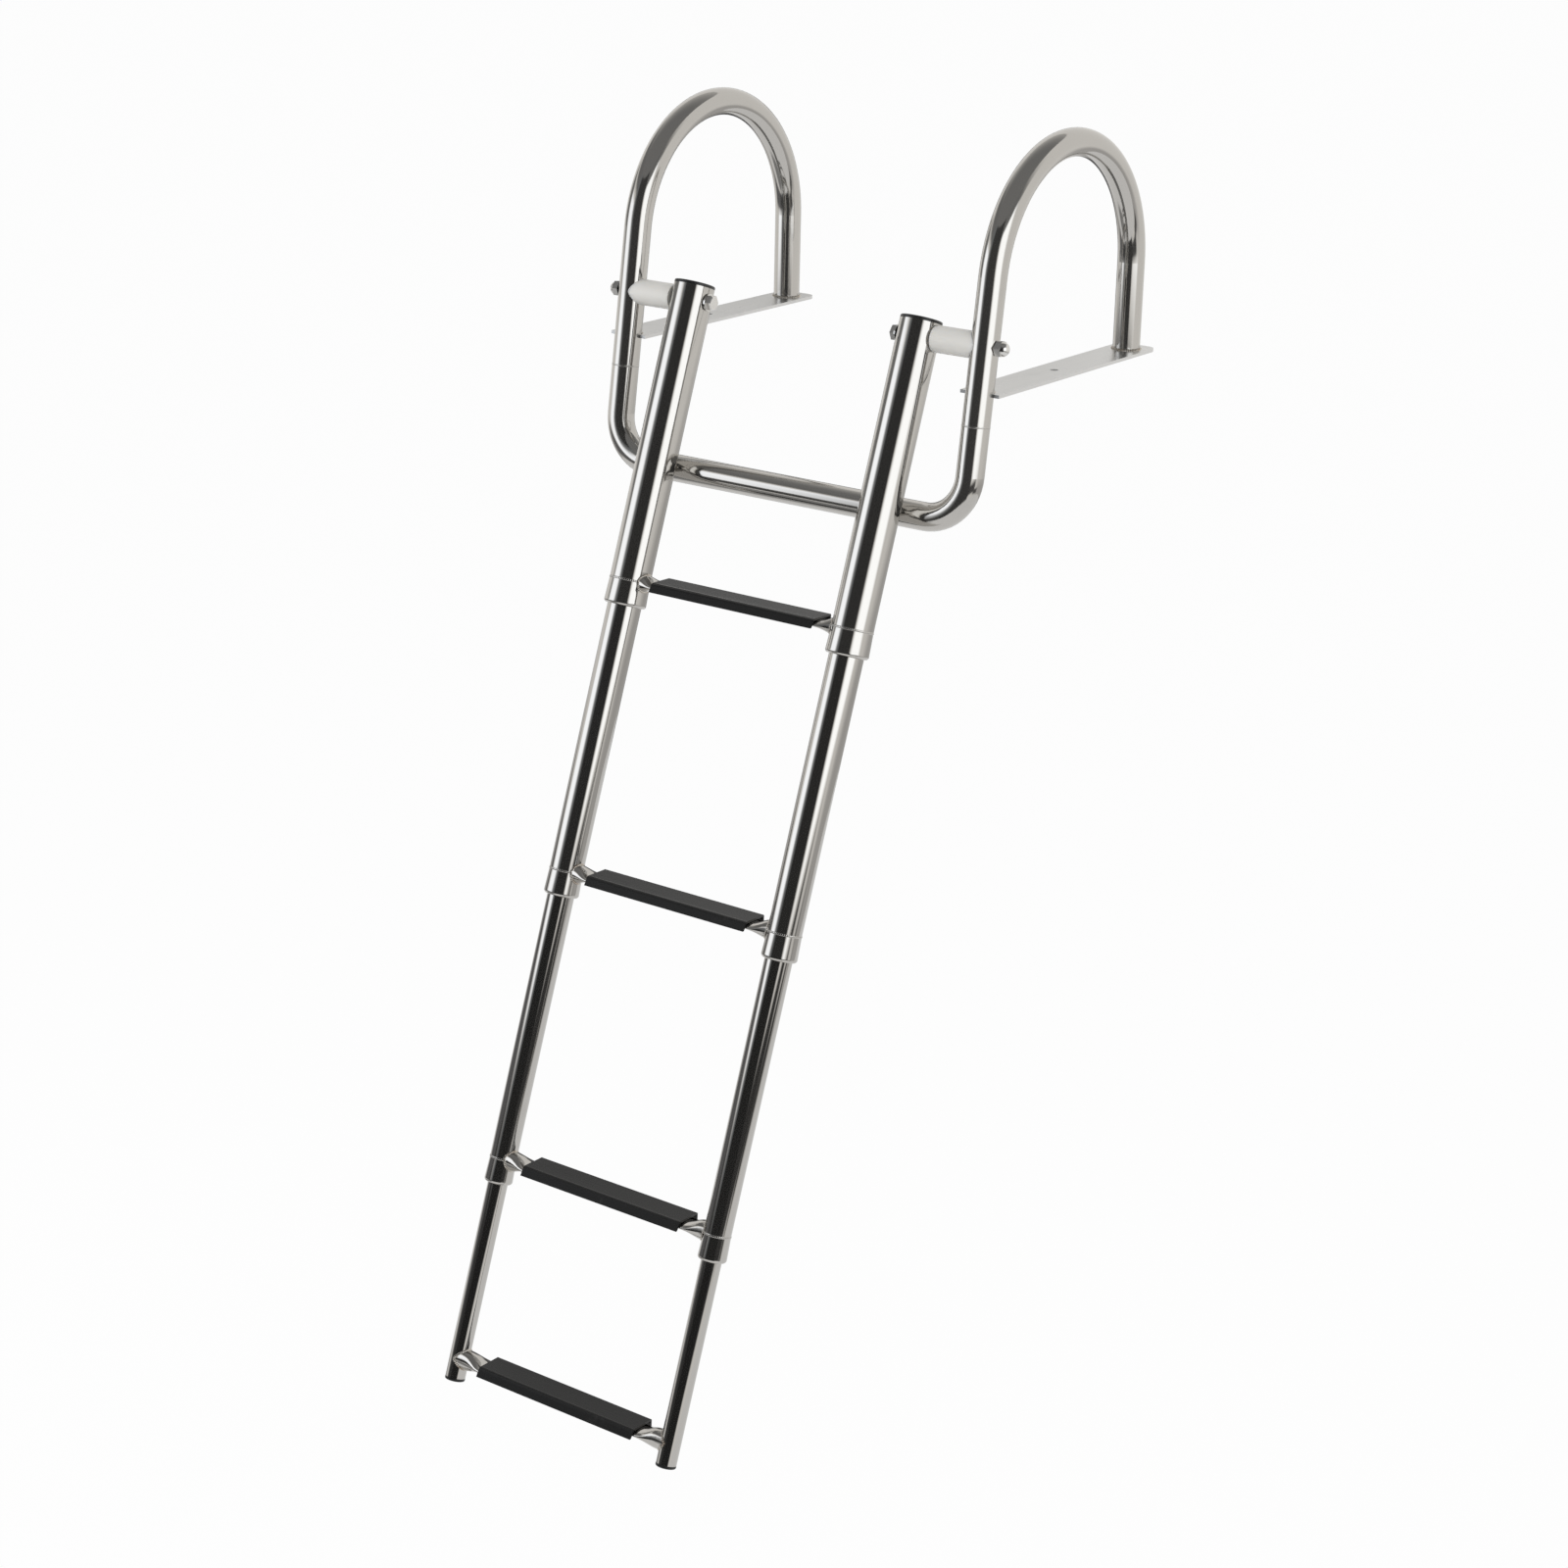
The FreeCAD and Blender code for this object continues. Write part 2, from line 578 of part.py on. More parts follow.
def make_cap(label, side, od, level, upward, plug_length):
    """Plastic end cap: a head as wide as the tube, with a rounded rim, and a plug inside it."""
    out = "" if upward else "-"
    back = "-" if upward else ""
    head = f"Sizes.{od} / 2"
    plug = f"Sizes.{od} / 2 - Sizes.rail_wall - Sizes.cap_fit"
    thick = f"{out}Sizes.cap_thickness"
    deep = f"{back}Sizes.{plug_length}"
    outline = [("0", deep), (plug, deep), (plug, "0"), (head, "0"), (head, thick), ("0", thick)]
    body = make_turned(label, side, level, outline)
    radius = value_of(od) / 2
    rim = (1 if upward else -1) * value_of("cap_thickness") - float(body.evalExpression(level))
    round_edges(
        body,
        "Sizes.cap_round",
        lambda edge, middle: is_round(edge, radius) and abs(middle.z - rim) < SAME,
    )
    return body


def add_ellipse(sketch, width, height):
    """Add an ellipse on the sketch's origin, from its whole width and height as expressions."""
    major = float(sketch.evalExpression(width)) / 2
    minor = float(sketch.evalExpression(height)) / 2
    shape = Part.Ellipse(Vector(0, 0, 0), major, minor)
    ellipse = sketch.addGeometry(shape)
    sketch.exposeInternalGeometry(ellipse)
    sketch.addConstraint(Sketcher.Constraint("Coincident", ellipse, 3, -1, 1))
    sketch.addConstraint(Sketcher.Constraint("Horizontal", ellipse + 1))
    constrain(sketch, width, "Distance", ellipse + 1)
    constrain(sketch, height, "Distance", ellipse + 2)


def loft_sections(body, kind, shrink, stations):
    """Loft one stretch of a step bar through stations: place along the bar, roundness from 0 to 1."""
    sketches = []
    for station, roundness in stations:
        sketch = new_sketch(body, "YZ_Plane", z=station)
        if roundness == 1:
            add_circle(sketch, f"(Sizes.bar_end_od - {shrink}) / 2")
        else:
            width, height = (
                f"Sizes.{across} + {roundness} * (Sizes.bar_end_od - Sizes.{across}) - {shrink}"
                for across in ("bar_flat_width", "bar_flat_height")
            )
            add_ellipse(sketch, width, height)
        sketches.append(sketch)
    doc.recompute()
    loft = body.newObject(f"PartDesign::{kind}", f"{body.Name}_{kind}")
    loft.Profile = sketches[0]
    loft.Sections = sketches[1:]
    doc.recompute()


def loft_bar(body, kind, shrink, reach):
    """Loft a step bar, or its bore: a flat middle under the tread, flared smoothly into round ends."""
    flare = [(f"Sizes.tread_length / 2 + {share} * Sizes.bar_flare", roundness) for share, roundness in FLARE]
    middle = flare[0][0]
    loft_sections(body, kind, shrink, [(f"-({middle})", 0), (middle, 0)])
    for sign in ("-", ""):
        stations = [(f"{sign}({place})", roundness) for place, roundness in flare + [(reach, 1)]]
        loft_sections(body, kind, shrink, stations)


def make_step_bar(number, rail_od, drop, collared):
    """Tube between the rails, pressed flat under the tread and coped to rails and collars."""
    blank = new_body(f"step_bar_{number}_blank")
    reach = "Sizes.rail_spacing / 2"
    loft_bar(blank, "AdditiveLoft", "0", reach)
    loft_bar(blank, "SubtractiveLoft", "2 * Sizes.bar_wall", reach)
    place(blank, "tread", drop)
    copes = doc.addObject("Part::MultiFuse", f"bar_copes_{number}")
    shapes = []
    for side in SIDES:
        for name, proud in (("tube", "0"), ("collar", "Sizes.collar_proud")):
            if name == "collar" and not collared:
                continue
            cylinder = doc.addObject("Part::Cylinder", f"cope_{name}_{number}_{side}")
            bind(
                cylinder,
                Radius=f"Sizes.{rail_od} / 2 + {proud} + Sizes.weld_gap",
                Height="Sizes.bar_end_od" if name == "collar" else "2 * Sizes.bar_end_od",
            )
            place(cylinder, "rail", f"{drop} + Sizes.bar_end_od")
            cylinder.setExpression(
                "Placement.Base.x", f"-Sizes.handrail_spacing / 2 + {side_x(side, 'rail_spacing')}"
            )
            shapes.append(cylinder)
    copes.Shapes = shapes
    return add_cut(f"step_bar_{number}", blank, copes)


def make_tread(number, drop):
    """Plastic tread clipped over the flat of its bar: a smooth top and a raked front lip."""
    body = new_body(f"tread_{number}")
    top = "Worked.tread_top"
    under = "(Sizes.bar_flat_height / 2 + Sizes.tread_gap)"
    outer = "Sizes.tread_depth / 2"
    inner = "(Sizes.tread_depth / 2 - Sizes.tread_wall)"
    lower = f"{top} - Sizes.tread_lip"
    outline = [
        (f"-{outer}", lower), (f"-{inner}", lower), (f"Sizes.tread_rake - {inner}", under), (inner, under),
        (inner, lower), (outer, lower), (outer, top), (f"Sizes.tread_rake - {outer}", top),
    ]
    profile = new_sketch(body, "YZ_Plane")
    add_outline(profile, outline)
    pad(body, profile, "Sizes.tread_length", midplane=True)
    height = value_of("tread_top")
    ceiling = float(body.evalExpression(under))

    def along_tread(level, front):
        """Make a test for the long edges at a level, in front of the bar or behind it."""
        return lambda edge, middle: (
            abs(middle.z - level) < SAME and abs(middle.x) < SAME and (middle.y < 0) == front
        )

    round_edges(body, "Sizes.tread_nose", along_tread(height, True), "nose")
    round_edges(body, "Sizes.tread_nose - Sizes.tread_wall", along_tread(ceiling, True), "inner_nose")
    round_edges(body, "Sizes.tread_heel", along_tread(height, False), "heel")
    place(body, "tread", drop)
    return body


def make_handrails():
    """Everything that is fixed to the boat: loops, lower tube, deck plates and pivots."""
    for side in SIDES:
        make_handrail(side)
        make_plate(side)
        make_spacer(side)
        make_bolt(side)
        make_washer(side)
        make_nut(side)
    make_crossbar()


def make_section(index):
    """One telescoping section: two tubes, its step, and what ends the tubes above and below."""
    section = SECTIONS[index]
    od = f"{section}_rail_od"
    number = index + 1
    first = index == 0
    last = number == len(SECTIONS)
    step = f"Worked.step_{number}"
    seam_above = f"Worked.step_{index}"
    top = "-Sizes.rail_top_rise" if first else f"{seam_above} - Sizes.slide_engagement"
    bottom = "Worked.foot_end" if last else step
    for side in SIDES:
        rail = make_tube(f"{section}_rail_{side}", side, od, top, bottom)
        if first:
            doc.recompute()
            add_bolt_hole(rail, "bolt_running_gap", side_x(side, "rail_spacing"))
            make_cap(f"rail_cap_{side}", side, od, top, True, "cap_plug_length")
        else:
            make_bush(section, side, od, f"{SECTIONS[index - 1]}_rail_od", top, seam_above)
        if last:
            make_cap(f"foot_plug_{side}", side, od, bottom, False, "foot_plug_length")
        else:
            make_collar(section, side, od, f"{SECTIONS[index + 1]}_rail_od", step)
        place(rail, "rail")
    make_step_bar(number, od, step, collared=not last)
    make_tread(number, step)


def is_piece(item):
    """Is this a finished piece of the ladder, and not a blank or a cutting shape?"""
    return item.TypeId in ("PartDesign::Body", "Part::Cut") and not item.Label.endswith("_blank")


def check_model():
    """Stop with the name of the first object that failed, or piece that isn't one valid solid."""
    doc.recompute()
    for item in doc.Objects:
        if "Invalid" in item.State or "Error" in item.State:
            raise ValueError(f"{item.Label} failed: {item.State}")
    for item in filter(is_piece, doc.Objects):
        if item.Shape.isNull() or not item.Shape.isValid() or len(item.Shape.Solids) != 1:
            raise ValueError(f"{item.Label} isn't one valid solid")


def write_pieces():
    """Write each piece to its own file."""
    os.makedirs("parts", exist_ok=True)
    for item in filter(is_piece, doc.Objects):
        item.Shape.exportStep(f"parts/{item.Label}.step")


make_handrails()
for section_index in range(len(SECTIONS)):
    make_section(section_index)
check_model()
write_pieces()
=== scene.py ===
"""Looks of a telescoping boarding ladder: polished tube, welds, deck plates, nylon and dark treads.

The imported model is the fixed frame. Every size here is read from that frame or is a named field,
in metres, in the frame's own axes: +Z up, +Y towards the deck, +X right seen from the water.
"""

import json
import logging
import math
from collections.abc import Callable, Iterable
from dataclasses import dataclass, field
from enum import Enum

import bmesh
import bpy
from mathutils import Euler, Matrix, Vector


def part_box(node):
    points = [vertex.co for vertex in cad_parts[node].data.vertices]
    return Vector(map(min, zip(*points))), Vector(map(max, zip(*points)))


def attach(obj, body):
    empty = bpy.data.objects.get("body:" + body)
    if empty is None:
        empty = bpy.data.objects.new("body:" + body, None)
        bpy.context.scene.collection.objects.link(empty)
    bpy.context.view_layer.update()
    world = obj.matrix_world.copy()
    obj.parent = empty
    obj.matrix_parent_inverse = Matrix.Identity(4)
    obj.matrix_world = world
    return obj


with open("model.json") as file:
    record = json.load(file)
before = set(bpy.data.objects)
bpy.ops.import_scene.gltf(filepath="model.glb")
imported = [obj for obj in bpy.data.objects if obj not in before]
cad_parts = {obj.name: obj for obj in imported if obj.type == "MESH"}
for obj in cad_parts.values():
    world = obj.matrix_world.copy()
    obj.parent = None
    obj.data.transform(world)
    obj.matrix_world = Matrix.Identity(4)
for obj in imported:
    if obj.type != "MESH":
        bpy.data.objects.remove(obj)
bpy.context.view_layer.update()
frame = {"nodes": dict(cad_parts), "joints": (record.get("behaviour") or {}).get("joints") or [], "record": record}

LOG = logging.getLogger("boarding_ladder")
MM = 0.001
LIP_RUN = 4.5 * MM
SEAM_WINDOW = math.radians(12)
SEAM_SLICE = math.radians(6)

Colour = tuple[float, float, float]


class Side(Enum):
    """The two halves of the ladder, seen from the water."""

    LEFT = "left"
    RIGHT = "right"


class Section(Enum):
    """The sliding sections from the top down, with the number of the step that each carries."""

    UPPER = 1
    SECOND = 2
    THIRD = 3
    LOWEST = 4

    @property
    def body(self) -> str:
        """Name of the moving body."""
        return f"{self.name.lower()}_section"


class Slot(Enum):
    """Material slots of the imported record."""

    POLISHED = "polished_steel"
    SATIN = "satin_steel"
    NYLON = "nylon"
    BLACK = "black_plastic"
    TREAD = "tread_plastic"


# ---------------------------------------------------------------------------
# Node wiring
# ---------------------------------------------------------------------------


class Wiring:
    """Adds and links the nodes of one shader tree."""

    def __init__(self, tree: bpy.types.NodeTree) -> None:
        """Take the tree to work on.

        Args:
            tree: A material's, world's or group's node tree.
        """
        self.tree = tree

    def put(self, socket: bpy.types.NodeSocket, value: object) -> None:
        """Link a socket into an input, or set the input to a plain value.

        Args:
            socket: The input.
            value: An output socket, a number, or a sequence of numbers.
        """
        if isinstance(value, bpy.types.NodeSocket):
            self.tree.links.new(value, socket)
        elif isinstance(value, (tuple, list, Vector)) and len(socket.default_value) == 4 and len(value) == 3:
            socket.default_value = (*value, 1.0)
        else:
            socket.default_value = value

    def node(self, kind: str, inputs: dict[str | int, object] | None = None, **settings: object) -> bpy.types.Node:
        """Add one node.

        Args:
            kind: The node's type, such as ShaderNodeTexNoise.
            inputs: Values or sockets for its inputs, by name or by number.
            settings: Attributes of the node.

        Returns:
            The new node.
        """
        node = self.tree.nodes.new(kind)
        for name, value in settings.items():
            setattr(node, name, value)
        for key, value in (inputs or {}).items():
            self.put(node.inputs[key], value)
        return node

    def maths(self, operation: str, *values: object) -> bpy.types.NodeSocket:
        """Add a Math node and return its result.

        Args:
            operation: The node's operation.
            values: Its inputs in order.

        Returns:
            The output socket.
        """
        node = self.node("ShaderNodeMath", dict(enumerate(values)), operation=operation)
        return node.outputs[0]

    def ramp(self, value: object, low: float, high: float, bottom: object = 0.0, top: object = 1.0) -> bpy.types.NodeSocket:
        """Map a value smoothly from one range to another.

        Args:
            value: The value.
            low: Where the smooth rise starts.
            high: Where it ends.
            bottom: Result at and below low.
            top: Result at and above high.

        Returns:
            The output socket.
        """
        inputs = {"Value": value, "From Min": low, "From Max": high, "To Min": bottom, "To Max": top}
        return self.node("ShaderNodeMapRange", inputs, interpolation_type="SMOOTHSTEP").outputs[0]

    def mix(self, factor: object, first: object, second: object) -> bpy.types.NodeSocket:
        """Mix two colours.

        Args:
            factor: Share of the second.
            first: Colour at 0.
            second: Colour at 1.

        Returns:
            The output socket.
        """
        node = self.node("ShaderNodeMix", data_type="RGBA")
        self.put(node.inputs[0], factor)
        self.put(node.inputs[6], first)
        self.put(node.inputs[7], second)
        return node.outputs[2]

    def group(self, tree: bpy.types.NodeTree, **inputs: object) -> bpy.types.Node:
        """Place a node group.

        Args:
            tree: The group's tree.
            inputs: Its inputs by name, with _ for a space.

        Returns:
            The group's node.
        """
        node = self.node("ShaderNodeGroup", node_tree=tree)
        for name, value in inputs.items():
            self.put(node.inputs[name.replace("_", " ")], value)
        return node


class Effect:
    """A shared effect: a node group that is built once and placed in each material."""

    title = ""
    takes: tuple[tuple[str, str, float], ...] = ()
    gives: tuple[str, ...] = ()

    @classmethod
    def tree(cls) -> bpy.types.NodeTree:
        """Return the group's tree, built on the first call."""
        found = bpy.data.node_groups.get(cls.title)
        if found:
            return found
        tree = bpy.data.node_groups.new(cls.title, "ShaderNodeTree")
        for name, kind, default in cls.takes:
            socket = tree.interface.new_socket(name=name, in_out="INPUT", socket_type=f"NodeSocket{kind}")
            if kind == "Float":
                socket.default_value = default
        for name in cls.gives:
            tree.interface.new_socket(name=name, in_out="OUTPUT", socket_type="NodeSocketFloat")
        wiring = Wiring(tree)
        source = wiring.node("NodeGroupInput")
        target = wiring.node("NodeGroupOutput")
        cls.wire(wiring, source.outputs, target.inputs)
        return tree

    @classmethod
    def wire(cls, wiring: Wiring, source: bpy.types.NodeOutputs, target: bpy.types.NodeInputs) -> None:
        """Wire the effect between the group's inputs and outputs.

        Args:
            wiring: The group's wiring.
            source: Outputs of the group's input node.
            target: Inputs of the group's output node.
        """
        raise NotImplementedError


class LineGrain(Effect):
    """Fine lines that run along one axis, as polishing, brushing and extruding leave them."""

    title = "line grain"
    takes = (("Vector", "Vector", 0.0), ("Across", "Float", 900.0), ("Along", "Float", 12.0))
    gives = ("Height", "Mask")

    @classmethod
    def wire(cls, wiring: Wiring, source: bpy.types.NodeOutputs, target: bpy.types.NodeInputs) -> None:
        """Stretch a noise along Z and a finer one over it."""
        scale = wiring.node("ShaderNodeCombineXYZ", {0: source["Across"], 1: source["Across"], 2: source["Along"]})
        where = wiring.node("ShaderNodeVectorMath", {0: source["Vector"], 1: scale.outputs[0]}, operation="MULTIPLY")
        coarse = wiring.node("ShaderNodeTexNoise", {"Vector": where.outputs[0], "Scale": 1.0, "Detail": 3.0})
        fine = wiring.node("ShaderNodeTexNoise", {"Vector": where.outputs[0], "Scale": 3.1, "Detail": 2.0})
        both = wiring.maths("MULTIPLY_ADD", fine.outputs[0], 0.5, coarse.outputs[0])
        wiring.put(target["Height"], both)
        wiring.put(target["Mask"], wiring.ramp(both, 0.55, 1.0))


class Patches(Effect):
    """Soft uneven patches, as smudges, water marks and scuffs are."""

    title = "patches"
    takes = (("Vector", "Vector", 0.0), ("Scale", "Float", 18.0), ("Spread", "Float", 0.5))
    gives = ("Mask",)

    @classmethod
    def wire(cls, wiring: Wiring, source: bpy.types.NodeOutputs, target: bpy.types.NodeInputs) -> None:
        """Break a large noise up by a smaller one and keep its peaks."""
        large = wiring.node(
            "ShaderNodeTexNoise", {"Vector": source["Vector"], "Scale": source["Scale"], "Detail": 5.0, "Distortion": 0.8}
        )
        small_scale = wiring.maths("MULTIPLY", source["Scale"], 9.0)
        small = wiring.node("ShaderNodeTexNoise", {"Vector": source["Vector"], "Scale": small_scale, "Detail": 3.0})
        sum_of = wiring.maths("MULTIPLY_ADD", small.outputs[0], 0.35, large.outputs[0])
        lowest = wiring.maths("SUBTRACT", 1.15, source["Spread"])
        over = wiring.maths("SUBTRACT", sum_of, lowest)
        wiring.put(target["Mask"], wiring.ramp(over, 0.0, 0.35))


class Grain(Effect):
    """Small even pimples, as moulded plastic and cast nylon have."""

    title = "moulded grain"
    takes = (("Vector", "Vector", 0.0), ("Scale", "Float", 1400.0))
    gives = ("Height",)

    @classmethod
    def wire(cls, wiring: Wiring, source: bpy.types.NodeOutputs, target: bpy.types.NodeInputs) -> None:
        """Take the smooth cells of a Voronoi pattern."""
        cells = wiring.node(
            "ShaderNodeTexVoronoi", {"Vector": source["Vector"], "Scale": source["Scale"]}, feature="SMOOTH_F1"
        )
        wiring.put(target["Height"], cells.outputs["Distance"])


class Waviness(Effect):
    """Long shallow waves that make straight reflections run a little unevenly."""

    title = "waviness"
    takes = (("Vector", "Vector", 0.0), ("Scale", "Float", 14.0))
    gives = ("Height",)

    @classmethod
    def wire(cls, wiring: Wiring, source: bpy.types.NodeOutputs, target: bpy.types.NodeInputs) -> None:
        """Take a smooth noise without detail."""
        wave = wiring.node(
            "ShaderNodeTexNoise", {"Vector": source["Vector"], "Scale": source["Scale"], "Detail": 0.0}
        )
        wiring.put(target["Height"], wave.outputs[0])


class PanelMask(Effect):
    """A soft-edged patch of the studio's wall, given by its bearing and its height."""

    title = "panel mask"
    takes = (
        ("Bearing", "Float", 0.0),
        ("Height", "Float", 0.0),
        ("Centre", "Float", 0.0),
        ("Half Width", "Float", 10.0),
        ("Side Softness", "Float", 4.0),
        ("Low", "Float", 0.0),
        ("High", "Float", 1.0),
        ("End Softness", "Float", 0.1),
    )
    gives = ("Mask",)

    @classmethod
    def wire(cls, wiring: Wiring, source: bpy.types.NodeOutputs, target: bpy.types.NodeInputs) -> None:
        """Multiply a window in bearing by a window in height."""
        turn = wiring.maths("WRAP", wiring.maths("SUBTRACT", source["Bearing"], source["Centre"]), 180.0, -180.0)
        aside = wiring.maths("SUBTRACT", source["Half Width"], wiring.maths("ABSOLUTE", turn))
        sideways = wiring.maths("DIVIDE", aside, source["Side Softness"])
        rise = wiring.maths("DIVIDE", wiring.maths("SUBTRACT", source["Height"], source["Low"]), source["End Softness"])
        fall = wiring.maths("DIVIDE", wiring.maths("SUBTRACT", source["High"], source["Height"]), source["End Softness"])
        windows = [wiring.ramp(value, -0.5, 0.5) for value in (sideways, rise, fall)]
        first = wiring.maths("MULTIPLY", windows[0], windows[1])
        wiring.put(target["Mask"], wiring.maths("MULTIPLY", first, windows[2]))


# ---------------------------------------------------------------------------
# Finishes
# ---------------------------------------------------------------------------


def new_material(name: str) -> tuple[bpy.types.Material, Wiring, bpy.types.Node]:
    """Make an empty material with a Principled shader.

    Args:
        name: The material's name.

    Returns:
        The material, its wiring and the shader.
    """
    material = bpy.data.materials.new(name)
    material.use_nodes = True
    material.node_tree.nodes.clear()
    wiring = Wiring(material.node_tree)
    shader = wiring.node("ShaderNodeBsdfPrincipled")
    output = wiring.node("ShaderNodeOutputMaterial")
    wiring.put(output.inputs["Surface"], shader.outputs[0])
    return material, wiring, shader


def object_place(wiring: Wiring, turn: tuple[float, float, float] = (0.0, 0.0, 0.0)) -> bpy.types.NodeSocket:
    """Read Object coordinates, turned so that a piece's own axis lies along Z.

    Args:
        wiring: The material's wiring.
        turn: Rotation of the pattern, in radians.

    Returns:
        The turned coordinates.
    """
    place = wiring.node("ShaderNodeTexCoord")
    mapping = wiring.node("ShaderNodeMapping", {"Vector": place.outputs["Object"], "Rotation": turn})
    return mapping.outputs[0]


@dataclass(frozen=True)
class PolishedSteel:
    """Mirror-polished stainless tube with faint lines along it and a few smudges."""

    name: str
    lean: float
    haze: float = 0.0
    colour: Colour = (0.53, 0.515, 0.49)
    roughness: float = 0.05
    smudge_roughness: float = 0.05
    wave_height: float = 0.00004
    line_height: float = 0.0000002

    def material(self) -> bpy.types.Material:
        """Build the material."""
        material, wiring, shader = new_material(self.name)
        place = object_place(wiring, (-self.lean, 0.0, 0.0))
        lines = wiring.group(LineGrain.tree(), Vector=place, Across=1300.0, Along=9.0)
        waves = wiring.group(Waviness.tree(), Vector=place, Scale=11.0)
        smudges = wiring.group(Patches.tree(), Vector=place, Scale=16.0, Spread=0.42)
        wiring.put(shader.inputs["Metallic"], 1.0 - self.haze)
        deep = tuple(0.94 * share for share in self.colour)
        wiring.put(shader.inputs["Base Color"], wiring.mix(smudges.outputs[0], self.colour, deep))
        rough = wiring.maths("MULTIPLY_ADD", smudges.outputs[0], self.smudge_roughness, self.roughness)
        rough = wiring.maths("MULTIPLY_ADD", lines.outputs["Mask"], 0.02, rough)
        wiring.put(shader.inputs["Roughness"], rough)
        wave = wiring.node("ShaderNodeBump", {"Height": waves.outputs[0], "Distance": self.wave_height})
        line = wiring.node(
            "ShaderNodeBump", {"Height": lines.outputs["Height"], "Distance": self.line_height, "Normal": wave.outputs[0]}
        )
        wiring.put(shader.inputs["Normal"], line.outputs[0])
        return material


@dataclass(frozen=True)
class SatinPlate:
    """Stainless plate, brushed along its length."""

    name: str = "satin_plate"
    colour: Colour = (0.71, 0.713, 0.71)

    def material(self) -> bpy.types.Material:
        """Build the material."""
        material, wiring, shader = new_material(self.name)
        place = object_place(wiring, (math.pi / 2, 0.0, 0.0))
        lines = wiring.group(LineGrain.tree(), Vector=place, Across=900.0, Along=14.0)
        marks = wiring.group(Patches.tree(), Vector=place, Scale=30.0, Spread=0.45)
        wiring.put(shader.inputs["Metallic"], 1.0)
        dull = tuple(0.9 * share for share in self.colour)
        wiring.put(shader.inputs["Base Color"], wiring.mix(marks.outputs[0], self.colour, dull))
        wiring.put(shader.inputs["Roughness"], wiring.ramp(lines.outputs["Height"], 0.4, 1.1, 0.27, 0.35))
        bump = wiring.node("ShaderNodeBump", {"Height": lines.outputs["Height"], "Distance": 0.000003})
        wiring.put(shader.inputs["Normal"], bump.outputs[0])
        return material


@dataclass(frozen=True)
class WeldMetal:
    """Rippled weld metal with a little heat tint left after polishing."""

    name: str = "weld_metal"
    bright: Colour = (0.6, 0.57, 0.52)
    tinted: Colour = (0.34, 0.26, 0.19)

    def material(self) -> bpy.types.Material:
        """Build the material."""
        material, wiring, shader = new_material(self.name)
        place = object_place(wiring)
        tint = wiring.group(Patches.tree(), Vector=place, Scale=90.0, Spread=0.55)
        grain = wiring.group(Grain.tree(), Vector=place, Scale=1800.0)
        wiring.put(shader.inputs["Metallic"], 1.0)
        wiring.put(shader.inputs["Base Color"], wiring.mix(tint.outputs[0], self.bright, self.tinted))
        wiring.put(shader.inputs["Roughness"], wiring.ramp(tint.outputs[0], 0.0, 1.0, 0.22, 0.4))
        bump = wiring.node("ShaderNodeBump", {"Height": grain.outputs[0], "Distance": 0.00003})
        wiring.put(shader.inputs["Normal"], bump.outputs[0])
        return material


@dataclass(frozen=True)
class Nylon:
    """Natural nylon, turned on a lathe: off-white with very fine rings round its axis."""

    name: str = "natural_nylon"
    colour: Colour = (0.74, 0.73, 0.70)
    soiled: Colour = (0.62, 0.60, 0.55)

    def material(self) -> bpy.types.Material:
        """Build the material."""
        material, wiring, shader = new_material(self.name)
        place = object_place(wiring)
        soil = wiring.group(Patches.tree(), Vector=place, Scale=45.0, Spread=0.4)
        rings = wiring.node(
            "ShaderNodeTexWave",
            {"Vector": place, "Scale": 320.0, "Distortion": 0.6, "Detail": 2.0},
            wave_type="BANDS",
            bands_direction="X",
        )
        wiring.put(shader.inputs["Base Color"], wiring.mix(soil.outputs[0], self.colour, self.soiled))
        wiring.put(shader.inputs["Roughness"], wiring.ramp(soil.outputs[0], 0.0, 1.0, 0.38, 0.52))
        wiring.put(shader.inputs["Subsurface Weight"], 0.6)
        wiring.put(shader.inputs["Subsurface Radius"], (1.0, 0.95, 0.85))
        wiring.put(shader.inputs["Subsurface Scale"], 4.0 * MM)
        bump = wiring.node("ShaderNodeBump", {"Height": rings.outputs["Fac"], "Distance": 0.00001})
        wiring.put(shader.inputs["Normal"], bump.outputs[0])
        return material


@dataclass(frozen=True)
class MouldedPlastic:
    """Black moulded plastic with a fine grain and a few dull marks."""

    name: str = "black_plastic"
    colour: Colour = (0.012, 0.012, 0.012)
    dusty: Colour = (0.035, 0.034, 0.032)

    def material(self) -> bpy.types.Material:
        """Build the material."""
        material, wiring, shader = new_material(self.name)
        place = object_place(wiring)
        dust = wiring.group(Patches.tree(), Vector=place, Scale=60.0, Spread=0.45)
        grain = wiring.group(Grain.tree(), Vector=place, Scale=1500.0)
        wiring.put(shader.inputs["Base Color"], wiring.mix(dust.outputs[0], self.colour, self.dusty))
        wiring.put(shader.inputs["Roughness"], wiring.ramp(dust.outputs[0], 0.0, 1.0, 0.34, 0.5))
        bump = wiring.node("ShaderNodeBump", {"Height": grain.outputs[0], "Distance": 0.00005})
        wiring.put(shader.inputs["Normal"], bump.outputs[0])
        return material


